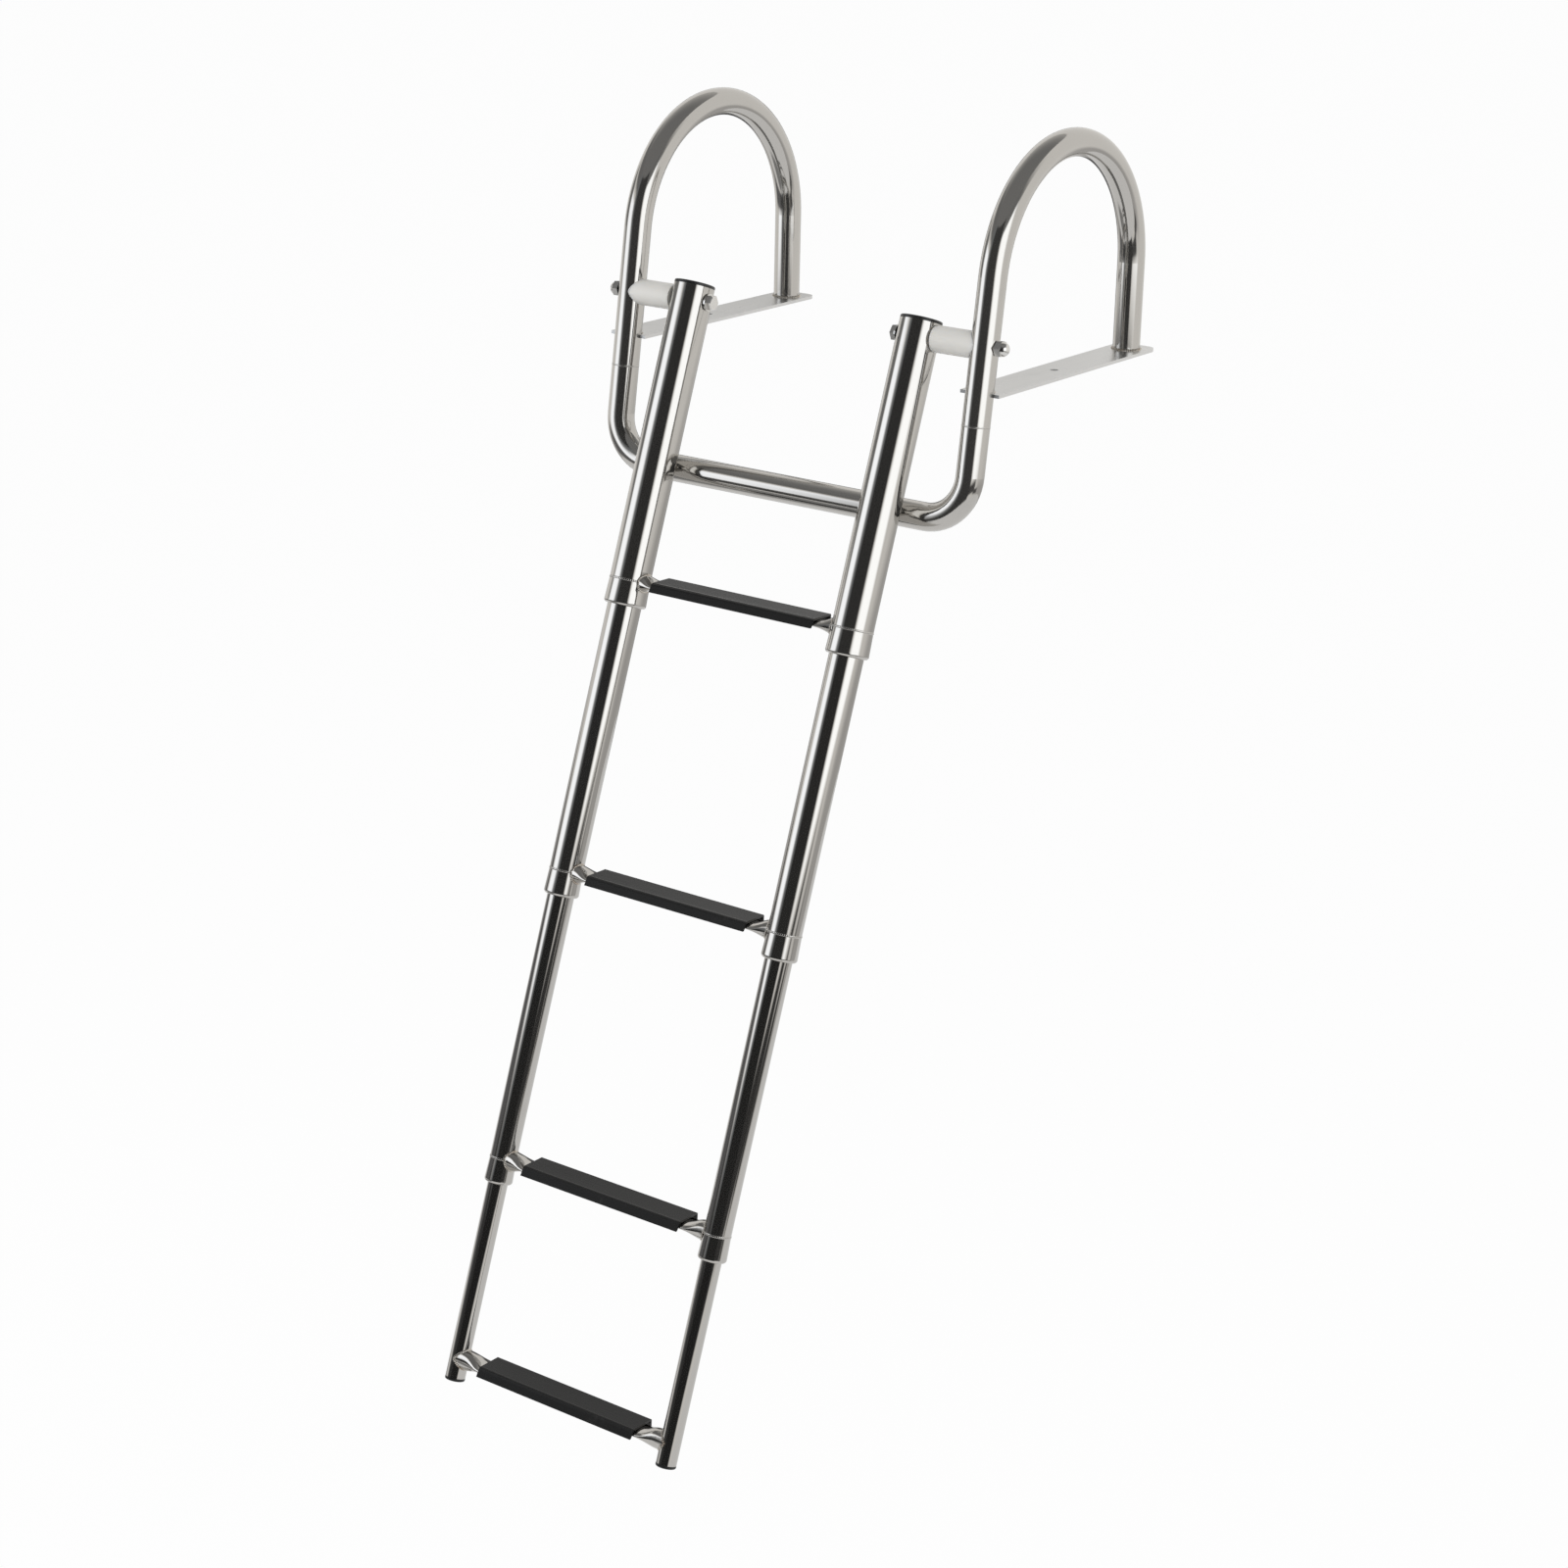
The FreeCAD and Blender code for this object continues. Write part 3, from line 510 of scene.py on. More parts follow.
@dataclass(frozen=True)
class TreadPlastic:
    """Near-black extruded tread, half glossy on top and dull on its lip, with faint lines and light scuffs."""

    name: str
    lip_end: float
    gloss: float = 0.5
    roughness: float = 0.2
    lip_gloss: float = 0.12
    lip_roughness: float = 0.42
    colour: Colour = (0.013, 0.013, 0.013)
    scuffed: Colour = (0.045, 0.044, 0.042)

    def material(self) -> bpy.types.Material:
        """Build the material."""
        material, wiring, shader = new_material(self.name)
        place = object_place(wiring, (0.0, math.pi / 2, 0.0))
        lines = wiring.group(LineGrain.tree(), Vector=place, Across=1500.0, Along=6.0)
        scuffs = wiring.group(Patches.tree(), Vector=place, Scale=26.0, Spread=0.36)
        share = wiring.maths("MULTIPLY", scuffs.outputs[0], wiring.maths("ADD", lines.outputs["Mask"], 0.2))
        wiring.put(shader.inputs["Base Color"], wiring.mix(share, self.colour, self.scuffed))
        parts = wiring.node("ShaderNodeSeparateXYZ", {0: object_place(wiring)})
        top = wiring.ramp(parts.outputs[1], self.lip_end - 0.6 * MM, self.lip_end + 0.6 * MM)
        smooth = wiring.ramp(lines.outputs["Height"], 0.4, 1.1, self.roughness, self.roughness + 0.07)
        wiring.put(shader.inputs["Roughness"], wiring.ramp(top, 0.0, 1.0, self.lip_roughness, smooth))
        wiring.put(shader.inputs["Specular IOR Level"], wiring.ramp(top, 0.0, 1.0, self.lip_gloss, self.gloss))
        bump = wiring.node("ShaderNodeBump", {"Height": lines.outputs["Height"], "Distance": 0.000004})
        wiring.put(shader.inputs["Normal"], bump.outputs[0])
        return material


# ---------------------------------------------------------------------------
# The frame's own measures
# ---------------------------------------------------------------------------


@dataclass(frozen=True)
class LadderMeasures:
    """Places and sizes that the welds follow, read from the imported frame."""

    pivot: Vector
    rail_up: Vector
    leg_up: Vector
    leg_radius: float

    @classmethod
    def read(cls) -> "LadderMeasures":
        """Read the pivot, the rails' direction and the legs' direction from the frame."""
        joints = {joint["name"]: joint for joint in frame["joints"]}
        pivot = Vector(joints["ladder_swing"]["pos_m"])
        low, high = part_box("lower_crossbar")
        leg_low, leg_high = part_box("handrail_right")
        radius = (leg_high.x - leg_low.x) / 2
        bar = Vector((pivot.x, low.y + radius, low.z + radius))
        return cls(pivot, Vector(joints["second_slide"]["axis"]).normalized(), (pivot - bar).normalized(), radius)

    def leg_x(self, side: Side) -> float:
        """Across place of a handrail loop's middle plane."""
        low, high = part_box(f"handrail_{side.value}")
        return (low.x + high.x) / 2

    def on_leg(self, side: Side, level: float) -> Vector:
        """Point of a front leg's axis at a height.

        Args:
            side: Which leg.
            level: The height.

        Returns:
            The point.
        """
        along = (level - self.pivot.z) / self.leg_up.z
        point = self.pivot + self.leg_up * along
        return Vector((self.leg_x(side), point.y, point.z))

    def leg_seam(self, side: Side) -> Vector:
        """Middle of the seam where the loop's tube meets the cross bar's."""
        low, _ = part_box(f"handrail_{side.value}")
        return self.on_leg(side, low.z - self.leg_radius * self.leg_up.y)

    def rear_foot(self, side: Side) -> Vector:
        """Middle of the rear leg's foot on its deck plate."""
        _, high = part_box(f"handrail_{side.value}")
        _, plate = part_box(f"mounting_plate_{side.value}")
        return Vector((self.leg_x(side), high.y - self.leg_radius, plate.z))

    def step(self, section: Section) -> Vector:
        """Middle of a section's step bar."""
        low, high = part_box(f"step_bar_{section.value}")
        return (low + high) / 2

    def lip_end(self, section: Section) -> float:
        """Place along Y where a tread's front lip turns over into its top."""
        low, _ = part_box(f"tread_{section.value}")
        return low.y + LIP_RUN

    def rail(self, section: Section, side: Side) -> tuple[float, float]:
        """Across place and radius of a section's rail."""
        low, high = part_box(f"{section.name.lower()}_rail_{side.value}")
        return (low.x + high.x) / 2, (high.x - low.x) / 2

    def bar_seam(self, section: Section, side: Side, reach: float) -> list[Vector]:
        """Points along the outer edge of a step bar's end, where it is coped to its rail.

        Args:
            section: The section that carries the bar.
            side: Which end of the bar.
            reach: How far outside the rail's face the edge may lie.

        Returns:
            The points in order round the bar.
        """
        bar = frame["nodes"][f"step_bar_{section.value}"]
        middle = self.step(section)
        rail_x, radius = self.rail(section, side)
        points = []
        for vertex in bar.data.vertices:
            point = bar.matrix_world @ vertex.co
            offset = point - Vector((rail_x, middle.y, middle.z))
            gap = (offset - offset.dot(self.rail_up) * self.rail_up).length
            if gap < radius + reach:
                points.append((math.atan2(point.z - middle.z, point.y - middle.y), gap, point))
        nearest: dict[int, tuple[float, Vector]] = {}
        for angle, gap, point in points:
            rivals = [other for turn, _, other in points if abs(math.remainder(turn - angle, 2 * math.pi)) < SEAM_WINDOW]
            widest = max((other.yz - middle.yz).length for other in rivals)
            part = round(angle / SEAM_SLICE)
            if (point.yz - middle.yz).length > widest - 0.5 * MM and gap < nearest.get(part, (math.inf, point))[0]:
                nearest[part] = (gap, point)
        return [point for _, (_, point) in sorted(nearest.items())]


# ---------------------------------------------------------------------------
# Modelling
# ---------------------------------------------------------------------------


def deselect_all() -> None:
    """Leave nothing selected, so that an operator acts on its own piece alone."""
    if bpy.context.object and bpy.context.object.mode != "OBJECT":
        bpy.ops.object.mode_set(mode="OBJECT")
    bpy.ops.object.select_all(action="DESELECT")


def activate(piece: bpy.types.Object) -> None:
    """Select one piece alone and make it the active one."""
    deselect_all()
    piece.select_set(True)
    bpy.context.view_layer.objects.active = piece


def pick_faces(piece: bpy.types.Object, chosen: Callable[[Vector, Vector], bool]) -> int:
    """Select a piece's faces by place and normal, in edit mode.

    Args:
        piece: The piece, in edit mode.
        chosen: Says yes or no for a face's centre and normal.

    Returns:
        How many faces are selected.
    """
    mesh = bmesh.from_edit_mesh(piece.data)
    bpy.ops.mesh.select_all(action="DESELECT")
    picked = 0
    for face in mesh.faces:
        if chosen(face.calc_center_median(), face.normal):
            face.select_set(True)
            picked += 1
    bmesh.update_edit_mesh(piece.data)
    return picked


def dress(piece: bpy.types.Object, material: bpy.types.Material, body: str) -> bpy.types.Object:
    """Give a new piece its finish, its body and its slot, and report it.

    Args:
        piece: The new piece.
        material: Its finish.
        body: The CAD body that it moves with.

    Returns:
        The piece.
    """
    piece.data.materials.clear()
    piece.data.materials.append(material)
    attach(piece, body)
    LOG.info("%s: %d faces on %s", piece.name, len(piece.data.polygons), body)
    return piece


@dataclass(frozen=True)
class Spot:
    """Where one scale of a weld lies: its middle, the way along the seam and the way out of it."""

    middle: Vector
    along: Vector
    away: Vector

    def matrix(self) -> Matrix:
        """Turn a scale that lies along X, with its back to Z, into this place."""
        away = (self.away - self.away.dot(self.along) * self.along).normalized()
        across = away.cross(self.along)
        turned = Matrix((self.along, across, away)).transposed().to_4x4()
        return Matrix.Translation(self.middle) @ turned


@dataclass
class WeldBead:
    """A bead of overlapping scales, as a torch leaves it. One scale is modelled and then copied."""

    width: float = 4.2 * MM
    height: float = 1.3 * MM
    scale_length: float = 3.0 * MM
    pitch: float = 1.7 * MM
    tip: float = 0.16
    scale: bpy.types.Object | None = field(default=None, repr=False)

    def model_scale(self) -> None:
        """Shape one scale: a flattened ball, cut off below and tipped so that it laps over the next."""
        deselect_all()
        bpy.ops.mesh.primitive_uv_sphere_add(segments=12, ring_count=8, radius=0.5)
        self.scale = bpy.context.object
        self.scale.name = "weld_scale"
        bpy.ops.object.mode_set(mode="EDIT")
        bpy.ops.mesh.select_all(action="SELECT")
        bpy.ops.transform.resize(value=(self.scale_length, self.width, 2 * self.height))
        bpy.ops.transform.rotate(value=self.tip, orient_axis="Y", center_override=(0, 0, 0))
        bpy.ops.mesh.bisect(
            plane_co=(0, 0, -0.25 * self.height), plane_no=(0, 0, 1), use_fill=True, clear_inner=True
        )
        bpy.ops.mesh.select_all(action="SELECT")
        bpy.ops.mesh.normals_make_consistent(inside=False)
        bpy.ops.object.mode_set(mode="OBJECT")
        bpy.ops.object.shade_smooth_by_angle(angle=math.radians(50))

    def lay(self, name: str, spots: Iterable[Spot]) -> bpy.types.Object:
        """Copy the scale to each spot and join the copies into one bead.

        Args:
            name: The bead's name.
            spots: Where the scales lie.

        Returns:
            The bead.
        """
        if self.scale is None:
            self.model_scale()
        copies = []
        for spot in spots:
            copy = self.scale.copy()
            copy.data = self.scale.data.copy()
            copy.matrix_world = spot.matrix()
            bpy.context.scene.collection.objects.link(copy)
            copies.append(copy)
        deselect_all()
        for copy in copies:
            copy.select_set(True)
        bpy.context.view_layer.objects.active = copies[0]
        bpy.ops.object.join()
        bead = bpy.context.object
        bpy.ops.object.transform_apply(location=True, rotation=True, scale=True)
        bead.name = name
        bead.data.name = name
        return bead

    def count(self, length: float) -> int:
        """How many scales a seam of some length takes."""
        return max(3, round(length / self.pitch))

    def clear(self) -> None:
        """Take the scale that was copied out of the scene."""
        if self.scale is not None:
            bpy.data.objects.remove(self.scale)
            self.scale = None


def ring_spots(
    middle: Vector, axis: Vector, radius: float, count: int, lean: float, first: float = 0.0, sweep: float = 2 * math.pi
) -> list[Spot]:
    """Spots round a tube.

    Args:
        middle: Point of the tube's axis.
        axis: The tube's direction.
        radius: Distance from the axis.
        count: How many spots.
        lean: Angle of the outward way, from square to the tube towards the axis's direction.
        first: Where the ring starts, as an angle from the side that faces +X.
        sweep: How far it goes round.

    Returns:
        The spots.
    """
    right = Vector((1, 0, 0))
    right = (right - right.dot(axis) * axis).normalized()
    front = axis.cross(right)
    spots = []
    for index in range(count):
        angle = first + sweep * (index + 0.5) / count
        out = right * math.cos(angle) + front * math.sin(angle)
        along = front * math.cos(angle) - right * math.sin(angle)
        away = out * math.cos(lean) + axis * math.sin(lean)
        spots.append(Spot(middle + out * radius, along, away))
    return spots


def seam_spots(seam: list[Vector], middle: Vector, inward: Vector, pitch: float) -> list[Spot]:
    """Even spots along a closed seam round a bar's end.

    Args:
        seam: Points of the seam in order.
        middle: A point of the bar's axis.
        inward: The bar's direction away from the seam.
        pitch: About how far apart the spots are.

    Returns:
        The spots.
    """
    ends = [*seam[1:], seam[0]]
    lengths = [(end - start).length for start, end in zip(seam, ends)]
    count = round(sum(lengths) / pitch)
    spots = []
    index, done = 0, 0.0
    for number in range(count):
        target = sum(lengths) * number / count
        while done + lengths[index] < target:
            done += lengths[index]
            index += 1
        point = seam[index].lerp(ends[index], (target - done) / max(lengths[index], 1e-9))
        offset = point - middle
        out = (offset - offset.dot(inward) * inward).normalized()
        spots.append(Spot(point, out.cross(inward).normalized(), out + inward))
    return spots


# ---------------------------------------------------------------------------
# The ladder's parts
# ---------------------------------------------------------------------------


@dataclass
class Finishes:
    """The materials of the ladder, each built once."""

    loop_steel: bpy.types.Material
    pivot_steel: bpy.types.Material
    rail_steels: dict[str, bpy.types.Material]
    plate_steel: bpy.types.Material
    weld_metal: bpy.types.Material
    nylon: bpy.types.Material
    black: bpy.types.Material
    treads: dict[str, bpy.types.Material]

    @classmethod
    def build(cls, measures: LadderMeasures) -> "Finishes":
        """Build them, with the polishing lines along the legs and along the rails."""
        leg_lean = math.atan2(measures.leg_up.y, measures.leg_up.z)
        rail_lean = math.atan2(measures.rail_up.y, measures.rail_up.z)
        hazes = {Section.UPPER: 0.03, Section.SECOND: 0.02, Section.THIRD: 0.01, Section.LOWEST: 0.004}
        rail_steels = {
            section.body: PolishedSteel(f"rail_steel_{section.value}", -rail_lean, haze).material()
            for section, haze in hazes.items()
        }
        glosses = {Section.UPPER: (0.9, 0.13), Section.SECOND: (0.55, 0.2), Section.THIRD: (0.4, 0.22), Section.LOWEST: (0.35, 0.22)}
        treads = {
            section.body: TreadPlastic(f"tread_plastic_{section.value}", measures.lip_end(section), *gloss).material()
            for section, gloss in glosses.items()
        }
        loop_steel = PolishedSteel(
            "loop_steel", -leg_lean, 0.05, roughness=0.08, smudge_roughness=0.03, wave_height=0.000012, line_height=0.00000005
        )
        pivot_steel = PolishedSteel("pivot_steel", 0.0, colour=(0.72, 0.71, 0.69), roughness=0.2)
        return cls(
            loop_steel.material(),
            pivot_steel.material(),
            rail_steels,
            SatinPlate().material(),
            WeldMetal().material(),
            Nylon().material(),
            MouldedPlastic().material(),
            treads,
        )

    def of_node(self, name: str, slot: Slot, body: str) -> bpy.types.Material:
        """The finish of a CAD node.

        Args:
            name: The node's name.
            slot: The record's slot of the node.
            body: The body that the node belongs to.

        Returns:
            The material.
        """
        if name.startswith("pivot_"):
            return self.pivot_steel
        if slot is Slot.POLISHED:
            return self.rail_steels.get(body, self.loop_steel)
        if slot is Slot.TREAD:
            return self.treads[body]
        return {Slot.SATIN: self.plate_steel, Slot.NYLON: self.nylon, Slot.BLACK: self.black}[slot]

    def paint(self) -> None:
        """Give every CAD node its finish."""
        bodies = frame["record"]["behaviour"]["bodies"]
        body_of = {node: body for body, nodes in bodies.items() for node in nodes}
        for part in frame["record"]["subparts"]:
            node = frame["nodes"][part["node"]]
            finish = self.of_node(part["node"], Slot(part["material_slot"]), body_of[part["node"]])
            for place in node.material_slots:
                place.material = finish
        LOG.info("painted %d nodes", len(frame["nodes"]))


@dataclass
class HandrailLoops:
    """Both handrail loops with their plates: welds at the feet, the plates' fronts and the leg seams."""

    measures: LadderMeasures
    finishes: Finishes
    foot_bead: WeldBead = field(default_factory=lambda: WeldBead(width=4.6 * MM, height=1.5 * MM))
    front_bead: WeldBead = field(default_factory=lambda: WeldBead(width=3.6 * MM, height=1.1 * MM, pitch=1.6 * MM))
    seam_bead: WeldBead = field(
        default_factory=lambda: WeldBead(width=1.8 * MM, height=0.25 * MM, scale_length=2.0 * MM, pitch=1.2 * MM, tip=0.04)
    )
    fillet_lean: float = math.radians(45)
    front_start: float = math.radians(28)

    def build(self) -> None:
        """Lay all welds of the loops."""
        for side in Side:
            self.weld_rear_foot(side)
            self.weld_plate_front(side)
            self.weld_leg_seam(side)
        self.foot_bead.clear()
        self.front_bead.clear()
        self.seam_bead.clear()

    def weld_rear_foot(self, side: Side) -> None:
        """Lay the ring of weld between a rear leg and its plate."""
        radius = self.measures.leg_radius
        count = self.foot_bead.count(2 * math.pi * radius)
        spots = ring_spots(self.measures.rear_foot(side), Vector((0, 0, 1)), radius, count, self.fillet_lean)
        bead = self.foot_bead.lay(f"weld_rear_foot_{side.value}", spots)
        dress(bead, self.finishes.weld_metal, "handrails")

    def weld_plate_front(self, side: Side) -> None:
        """Lay the arc of weld where a plate's front end meets the back of its front leg."""
        _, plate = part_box(f"mounting_plate_{side.value}")
        middle = self.measures.on_leg(side, plate.z)
        radius = self.measures.leg_radius
        sweep = math.pi - 2 * self.front_start
        count = self.front_bead.count(sweep * radius)
        spots = ring_spots(middle, Vector((0, 0, 1)), radius, count, self.fillet_lean, self.front_start, sweep)
        bead = self.front_bead.lay(f"weld_plate_front_{side.value}", spots)
        dress(bead, self.finishes.weld_metal, "handrails")

    def weld_leg_seam(self, side: Side) -> None:
        """Lay the nearly flush weld between a loop's front leg and the cross bar's tube."""
        radius = self.measures.leg_radius - 0.1 * MM
        count = self.seam_bead.count(2 * math.pi * radius)
        spots = ring_spots(self.measures.leg_seam(side), self.measures.leg_up, radius, count, 0.0)
        bead = self.seam_bead.lay(f"weld_leg_seam_{side.value}", spots)
        dress(bead, self.finishes.loop_steel, "handrails")


@dataclass
class SlidingSections:
    """The four sliding sections: welds at the step bars' ends and at the collars."""

    measures: LadderMeasures
    finishes: Finishes
    bar_bead: WeldBead = field(default_factory=lambda: WeldBead(width=3.0 * MM, height=0.8 * MM, pitch=1.6 * MM))
    collar_bead: WeldBead = field(
        default_factory=lambda: WeldBead(width=2.2 * MM, height=0.36 * MM, scale_length=2.8 * MM, pitch=1.9 * MM, tip=0.06)
    )
    seam_reach: float = 1.4 * MM

    def build(self) -> None:
        """Lay all welds of the sections."""
        for section in Section:
            for side in Side:
                self.weld_bar_end(section, side)
                if section is not Section.LOWEST:
                    self.weld_collar(section, side)
        self.bar_bead.clear()
        self.collar_bead.clear()

    def weld_bar_end(self, section: Section, side: Side) -> None:
        """Lay the saddle of weld where a step bar meets its rail.

        Args:
            section: The section.
            side: Which end of the bar.
        """
        middle = self.measures.step(section)
        rail_x, _ = self.measures.rail(section, side)
        seam = self.measures.bar_seam(section, side, self.seam_reach)
        inward = Vector((1.0 if middle.x > rail_x else -1.0, 0, 0))
        spots = seam_spots(seam, middle, inward, self.bar_bead.pitch)
        bead = self.bar_bead.lay(f"weld_bar_{section.value}_{side.value}", spots)
        dress(bead, self.finishes.weld_metal, section.body)

    def weld_collar(self, section: Section, side: Side) -> None:
        """Lay the low ring of weld between a guiding tube and its collar.

        Args:
            section: The section that carries the collar.
            side: Which rail.
        """
        rail_x, rail_radius = self.measures.rail(section, side)
        step = self.measures.step(section)
        count = self.collar_bead.count(2 * math.pi * rail_radius)
        middle = Vector((rail_x, step.y, step.z))
        spots = ring_spots(middle, self.measures.rail_up, rail_radius, count, 0.0)
        bead = self.collar_bead.lay(f"weld_collar_{section.value}_{side.value}", spots)
        dress(bead, self.finishes.rail_steels[section.body], section.body)


# ---------------------------------------------------------------------------
# Studio
# ---------------------------------------------------------------------------


@dataclass(frozen=True)
class Panel:
    """One soft-edged patch on the studio's wall, by its bearing from the camera's side and its height."""

    centre: float
    half_width: float
    low: float
    high: float
    glow: Colour
    side_softness: float = 6.0
    end_softness: float = 0.16


@dataclass
class Viewpoint:
    """The photograph's camera."""

    place: tuple[float, float, float] = (1.44873, -2.43939, 0.59230)
    heading: float = math.radians(35.45)
    pitch: float = math.radians(19.29)
    roll: float = math.radians(1.29)
    lens: float = 73.09
    sensor: float = 36.0

    def build(self) -> None:
        """Make the camera and make it the scene's."""
        data = bpy.data.cameras.new("viewpoint")
        data.lens = self.lens
        data.sensor_width = self.sensor
        data.sensor_fit = "HORIZONTAL"
        camera = bpy.data.objects.new("viewpoint", data)
        bpy.context.scene.collection.objects.link(camera)
        turned = Euler((math.pi / 2 - self.pitch, 0.0, self.heading)).to_matrix() @ Matrix.Rotation(self.roll, 3, "Z")
        camera.matrix_world = Matrix.Translation(self.place) @ turned.to_4x4()
        bpy.context.scene.camera = camera


@dataclass
class Studio:
    """Pale floor, white surroundings, and a ring of dark screens and softboxes for the polish to show."""

    middle: tuple[float, float] = (-0.195, -0.15)
    floor_level: float = -1.22
    floor_size: float = 60.0
    wall_radius: float = 2.1
    wall_top: float = 2.0
    bearing_zero: float = math.radians(35.45)
    backdrop: Colour = (0.90, 0.885, 0.86)
    ambient: float = 0.62
    mirrored_floor: float = 0.86
    shaded_floor: float = 0.25
    shade_middle: tuple[float, float] = (-0.955, -0.95)
    shade_reach: tuple[float, float] = (0.5, 0.85)
    panels: tuple[Panel, ...] = (
        Panel(155.0, 95.0, -1.4, -0.6, (0.52, 0.51, 0.50), 20.0, 0.5),
        Panel(-35.0, 110.0, 1.15, 2.4, (0.18, 0.18, 0.18), 40.0, 0.3),
        Panel(-117.0, 14.0, 0.0, 0.9, (0.22, 0.22, 0.22), 10.0, 0.3),
        Panel(-95.0, 30.0, -1.08, -0.42, (0.14, 0.14, 0.145), 14.0, 0.2),
        Panel(15.0, 32.0, -0.95, -0.42, (0.045, 0.044, 0.044), 12.0, 0.16),
        Panel(54.0, 13.0, -1.12, -0.8, (0.06, 0.059, 0.058), 12.0, 0.16),
        Panel(-82.0, 18.0, -0.36, 0.86, (1.7, 1.76, 1.86), 13.0, 0.24),
        Panel(38.0, 20.0, -0.29, 1.25, (1.84, 1.88, 1.92), 14.0, 0.22),
        Panel(-54.0, 12.0, -1.4, 2.4, (0.18, 0.19, 0.20), 20.0),
        Panel(-62.0, 18.0, -1.05, -0.5, (0.05, 0.05, 0.05), 14.0, 0.2),
        Panel(-20.0, 32.0, -1.4, 2.4, (0.022, 0.022, 0.022), 9.0),
        Panel(180.0, 14.0, -1.4, 0.35, (0.12, 0.12, 0.12), 8.0),
    )

    def build(self) -> None:
        """Set the studio up."""
        self.build_world()
        self.build_floor()
        self.build_wall()
        self.build_ceiling()
        self.build_lamp("left_softbox", -84.0, 0.4, 15.0, (0.98, 0.99, 1.0))
        self.build_lamp("right_softbox", 35.0, 0.45, 15.0, (1.0, 0.985, 0.97))

    def seen_directly(self, wiring: Wiring) -> bpy.types.NodeSocket:
        """Say where a ray comes from the camera, a mirror or through glass.

        Args:
            wiring: The wiring of the material or world.

        Returns:
            1 for such a ray, and 0 for others.
        """
        path = wiring.node("ShaderNodeLightPath")
        seen = wiring.maths("MAXIMUM", path.outputs["Is Camera Ray"], path.outputs["Is Glossy Ray"])
        return wiring.maths("MAXIMUM", seen, path.outputs["Is Transmission Ray"])

    def build_world(self) -> None:
        """White where it is seen, and plain soft light elsewhere."""
        world = bpy.data.worlds.new("surroundings")
        bpy.context.scene.world = world
        world.use_nodes = True
        world.node_tree.nodes.clear()
        wiring = Wiring(world.node_tree)
        strength = wiring.maths("MULTIPLY_ADD", self.seen_directly(wiring), 1.0 - self.ambient, self.ambient)
        background = wiring.node("ShaderNodeBackground", {"Color": (1.0, 1.0, 1.0), "Strength": strength})
        output = wiring.node("ShaderNodeOutputWorld")
        wiring.put(output.inputs["Surface"], background.outputs[0])

    def build_floor(self) -> None:
        """Lay the pale floor under the ladder's foot."""
        deselect_all()
        bpy.ops.mesh.primitive_plane_add(size=self.floor_size, location=(*self.middle, self.floor_level))
        floor = bpy.context.object
        floor.name = "floor"
        material = bpy.data.materials.new("pale_floor")
        material.use_nodes = True
        material.node_tree.nodes.clear()
        wiring = Wiring(material.node_tree)
        matt = wiring.node("ShaderNodeBsdfDiffuse", {"Color": (0.85, 0.85, 0.85)})
        path = wiring.node("ShaderNodeLightPath")
        mirrored = wiring.ramp(self.shade_distance(wiring), 0.75, 1.25, self.shaded_floor, self.mirrored_floor)
        strength = wiring.ramp(path.outputs["Is Camera Ray"], 0.0, 1.0, mirrored, 1.0)
        glow = wiring.node("ShaderNodeEmission", {"Color": (1.0, 1.0, 1.0), "Strength": strength})
        share = wiring.maths("MULTIPLY", self.seen_directly(wiring), 0.955)
        top = wiring.node("ShaderNodeMixShader", {0: share, 1: matt.outputs[0], 2: glow.outputs[0]})
        under = wiring.node("ShaderNodeBsdfTransparent")
        faces = wiring.node("ShaderNodeNewGeometry")
        both = wiring.node("ShaderNodeMixShader", {0: faces.outputs["Backfacing"], 1: top.outputs[0], 2: under.outputs[0]})
        output = wiring.node("ShaderNodeOutputMaterial")
        wiring.put(output.inputs["Surface"], both.outputs[0])
        floor.data.materials.append(material)

    def shade_distance(self, wiring: Wiring) -> bpy.types.NodeSocket:
        """Distance from the middle of the shade that mirrors see on the floor, as a share of its reach."""
        place = wiring.node("ShaderNodeTexCoord")
        stretch = (1.0 / self.shade_reach[0], 1.0 / self.shade_reach[1], 0.0)
        offset = wiring.node("ShaderNodeVectorMath", {0: place.outputs["Object"], 1: (*self.shade_middle, 0.0)}, operation="SUBTRACT")
        share = wiring.node("ShaderNodeVectorMath", {0: offset.outputs[0], 1: stretch}, operation="MULTIPLY")
        return wiring.node("ShaderNodeVectorMath", {0: share.outputs[0]}, operation="LENGTH").outputs["Value"]

    def only_for_mirrors(self, piece: bpy.types.Object) -> None:
        """Let only glossy rays see a stage piece."""
        piece.visible_camera = False
        piece.visible_diffuse = False
        piece.visible_transmission = False
        piece.visible_volume_scatter = False
        piece.visible_shadow = False

    def glow_material(self, name: str) -> tuple[bpy.types.Material, Wiring, bpy.types.Node]:
        """Make a material that only glows.

        Args:
            name: The material's name.

        Returns:
            The material, its wiring and the Emission node.
        """
        material = bpy.data.materials.new(name)
        material.use_nodes = True
        material.node_tree.nodes.clear()
        wiring = Wiring(material.node_tree)
        glow = wiring.node("ShaderNodeEmission", {"Strength": 1.0})
        output = wiring.node("ShaderNodeOutputMaterial")
        wiring.put(output.inputs["Surface"], glow.outputs[0])
        return material, wiring, glow

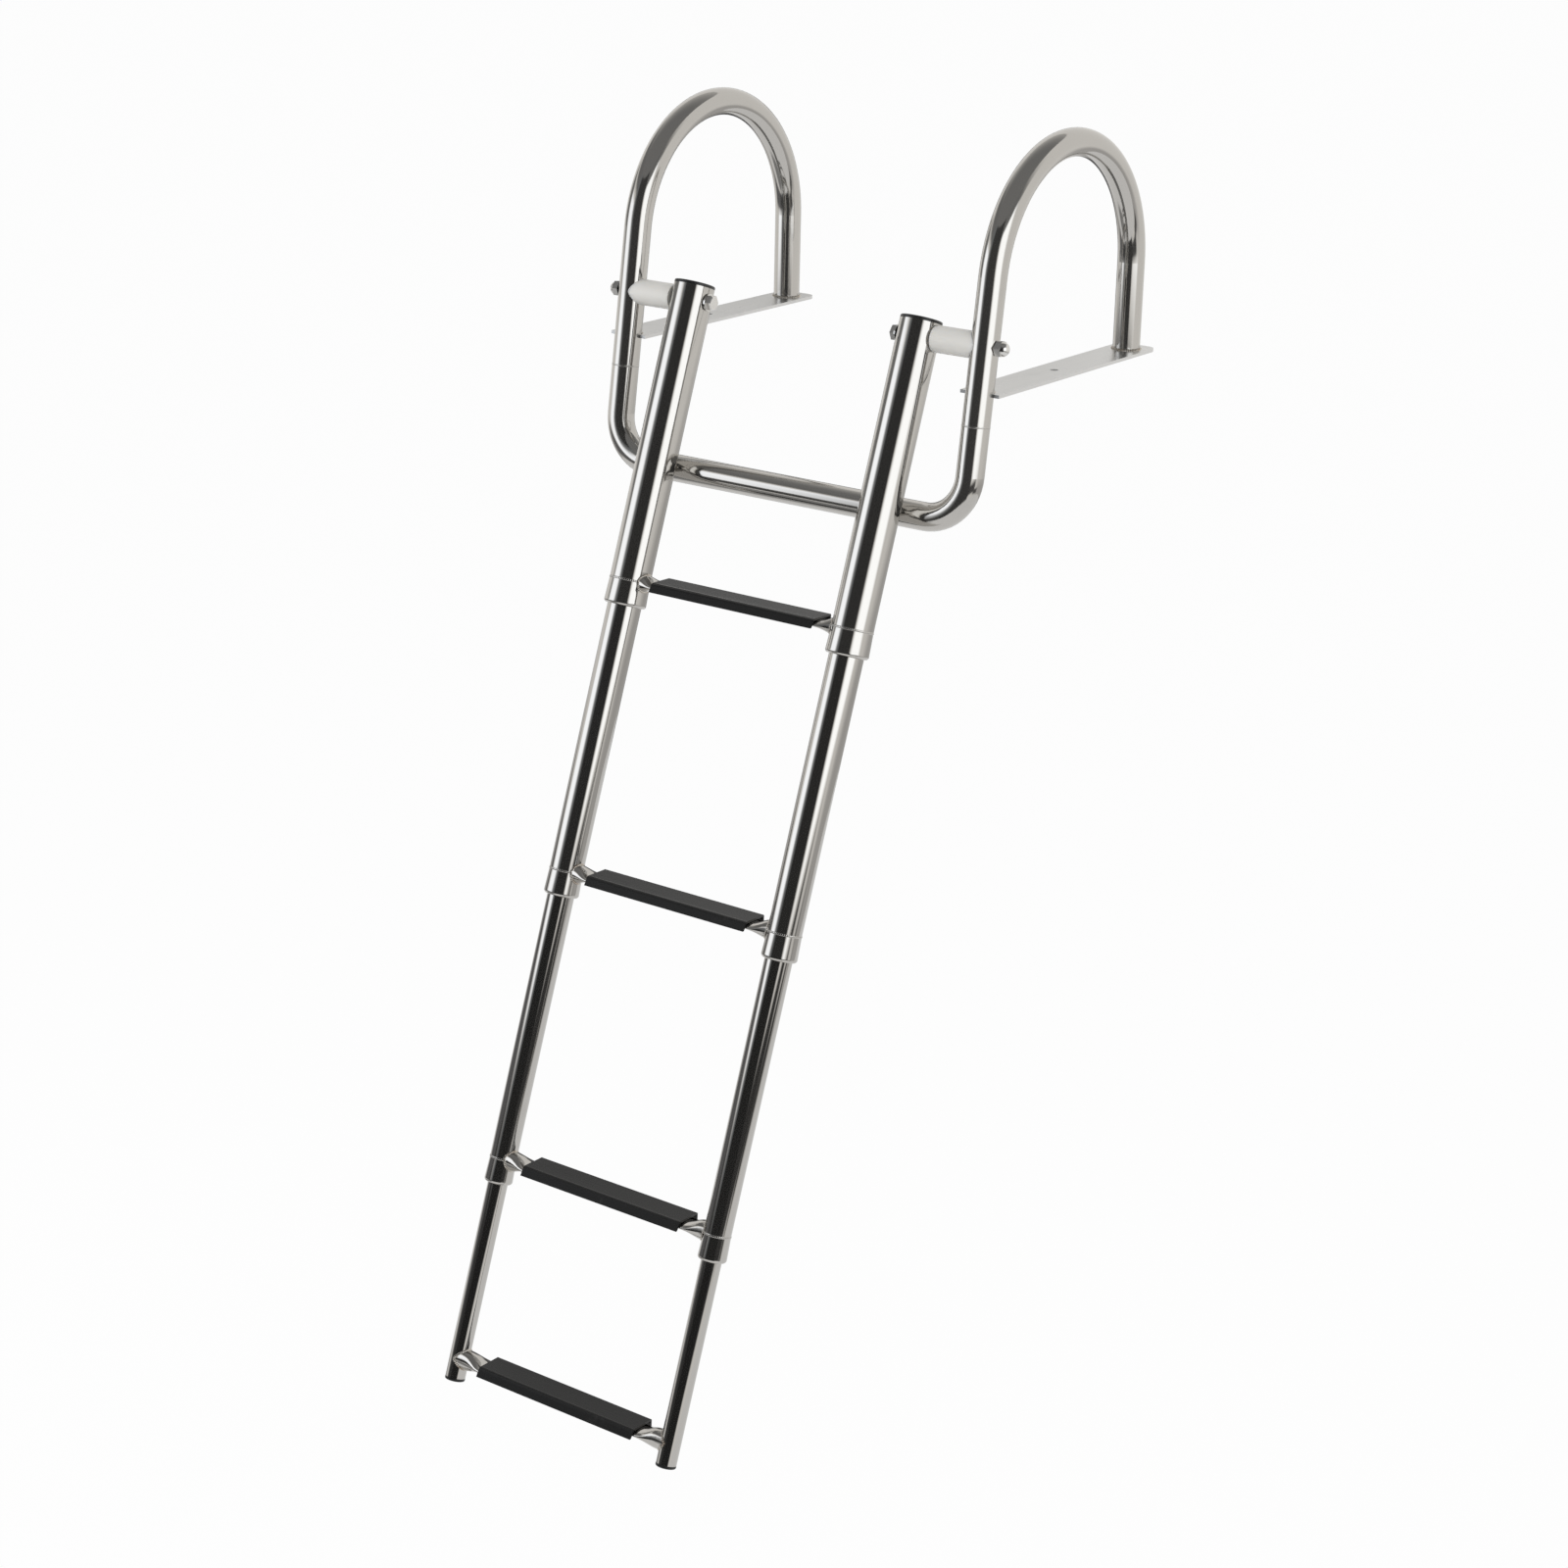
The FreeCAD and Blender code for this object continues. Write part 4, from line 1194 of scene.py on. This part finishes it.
    def bearing(self, wiring: Wiring) -> tuple[bpy.types.NodeSocket, bpy.types.NodeSocket]:
        """Work out the bearing and the height of a point of the wall.

        Args:
            wiring: The material's wiring.

        Returns:
            Degrees from the camera's side, rising to the camera's right, and the height.
        """
        place = wiring.node("ShaderNodeTexCoord")
        parts = wiring.node("ShaderNodeSeparateXYZ", {0: place.outputs["Object"]})
        x = wiring.maths("SUBTRACT", parts.outputs[0], self.middle[0])
        y = wiring.maths("SUBTRACT", parts.outputs[1], self.middle[1])
        angle = wiring.maths("ARCTAN2", y, x)
        towards = math.atan2(-math.cos(self.bearing_zero), math.sin(self.bearing_zero))
        turn = wiring.maths("SUBTRACT", angle, towards)
        return wiring.maths("DEGREES", turn), parts.outputs[2]

    def build_wall(self) -> None:
        """Build the round wall that carries the backdrop, the screens and the softboxes."""
        deselect_all()
        bpy.ops.mesh.primitive_cylinder_add(
            vertices=96,
            radius=self.wall_radius,
            depth=self.wall_top - self.floor_level,
            end_fill_type="NOTHING",
            location=(*self.middle, (self.wall_top + self.floor_level) / 2),
        )
        wall = bpy.context.object
        wall.name = "studio_wall"
        bpy.ops.object.transform_apply(location=True, rotation=True, scale=True)
        material, wiring, glow = self.glow_material("wall_glow")
        bearing, height = self.bearing(wiring)
        colour: object = self.backdrop
        for panel in self.panels:
            mask = wiring.group(
                PanelMask.tree(),
                Bearing=bearing,
                Height=height,
                Centre=panel.centre,
                Half_Width=panel.half_width,
                Side_Softness=panel.side_softness,
                Low=panel.low,
                High=panel.high,
                End_Softness=panel.end_softness,
            )
            colour = wiring.mix(mask.outputs[0], colour, panel.glow)
        wiring.put(glow.inputs["Color"], colour)
        wall.data.materials.append(material)
        self.only_for_mirrors(wall)

    def build_ceiling(self) -> None:
        """Close the wall with a grey panel that is paler towards the back."""
        deselect_all()
        bpy.ops.mesh.primitive_circle_add(
            vertices=96, radius=self.wall_radius, fill_type="NGON", location=(*self.middle, self.wall_top)
        )
        ceiling = bpy.context.object
        ceiling.name = "studio_ceiling"
        bpy.ops.object.transform_apply(location=True, rotation=True, scale=True)
        material, wiring, glow = self.glow_material("ceiling_glow")
        place = wiring.node("ShaderNodeTexCoord")
        parts = wiring.node("ShaderNodeSeparateXYZ", {0: place.outputs["Object"]})
        back = wiring.maths(
            "MULTIPLY_ADD", parts.outputs[0], -math.sin(self.bearing_zero), wiring.maths("MULTIPLY", parts.outputs[1], math.cos(self.bearing_zero))
        )
        share = wiring.ramp(back, 0.2, 2.4)
        wiring.put(glow.inputs["Color"], wiring.mix(share, (0.2, 0.2, 0.2), (0.62, 0.61, 0.59)))
        ceiling.data.materials.append(material)
        self.only_for_mirrors(ceiling)

    def build_lamp(self, name: str, bearing: float, height: float, power: float, colour: Colour) -> None:
        """Hang a lamp in a softbox, for the light that it casts.

        Args:
            name: The lamp's name.
            bearing: Its bearing from the camera's side, in degrees.
            height: Its height.
            power: Its power.
            colour: Its colour.
        """
        towards = math.atan2(-math.cos(self.bearing_zero), math.sin(self.bearing_zero)) + math.radians(bearing)
        place = Vector((self.middle[0], self.middle[1], height))
        place += Vector((math.cos(towards), math.sin(towards), 0.0)) * self.wall_radius
        data = bpy.data.lights.new(name, "AREA")
        data.shape = "RECTANGLE"
        data.size = 1.4
        data.size_y = 1.5
        data.energy = power
        data.color = colour
        lamp = bpy.data.objects.new(name, data)
        bpy.context.scene.collection.objects.link(lamp)
        aim = Vector((self.middle[0], self.middle[1], -0.3)) - place
        lamp.rotation_euler = aim.to_track_quat("-Z", "Y").to_euler()
        lamp.location = place
        lamp.visible_glossy = False
        lamp.visible_camera = False


def main() -> None:
    """Dress the ladder and set up its studio."""
    logging.basicConfig(level=logging.INFO, format="%(name)s %(message)s")
    bpy.context.scene.view_settings.view_transform = "Standard"
    measures = LadderMeasures.read()
    finishes = Finishes.build(measures)
    finishes.paint()
    HandrailLoops(measures, finishes).build()
    SlidingSections(measures, finishes).build()
    Studio().build()
    Viewpoint().build()


if __name__ == "__main__":
    main()
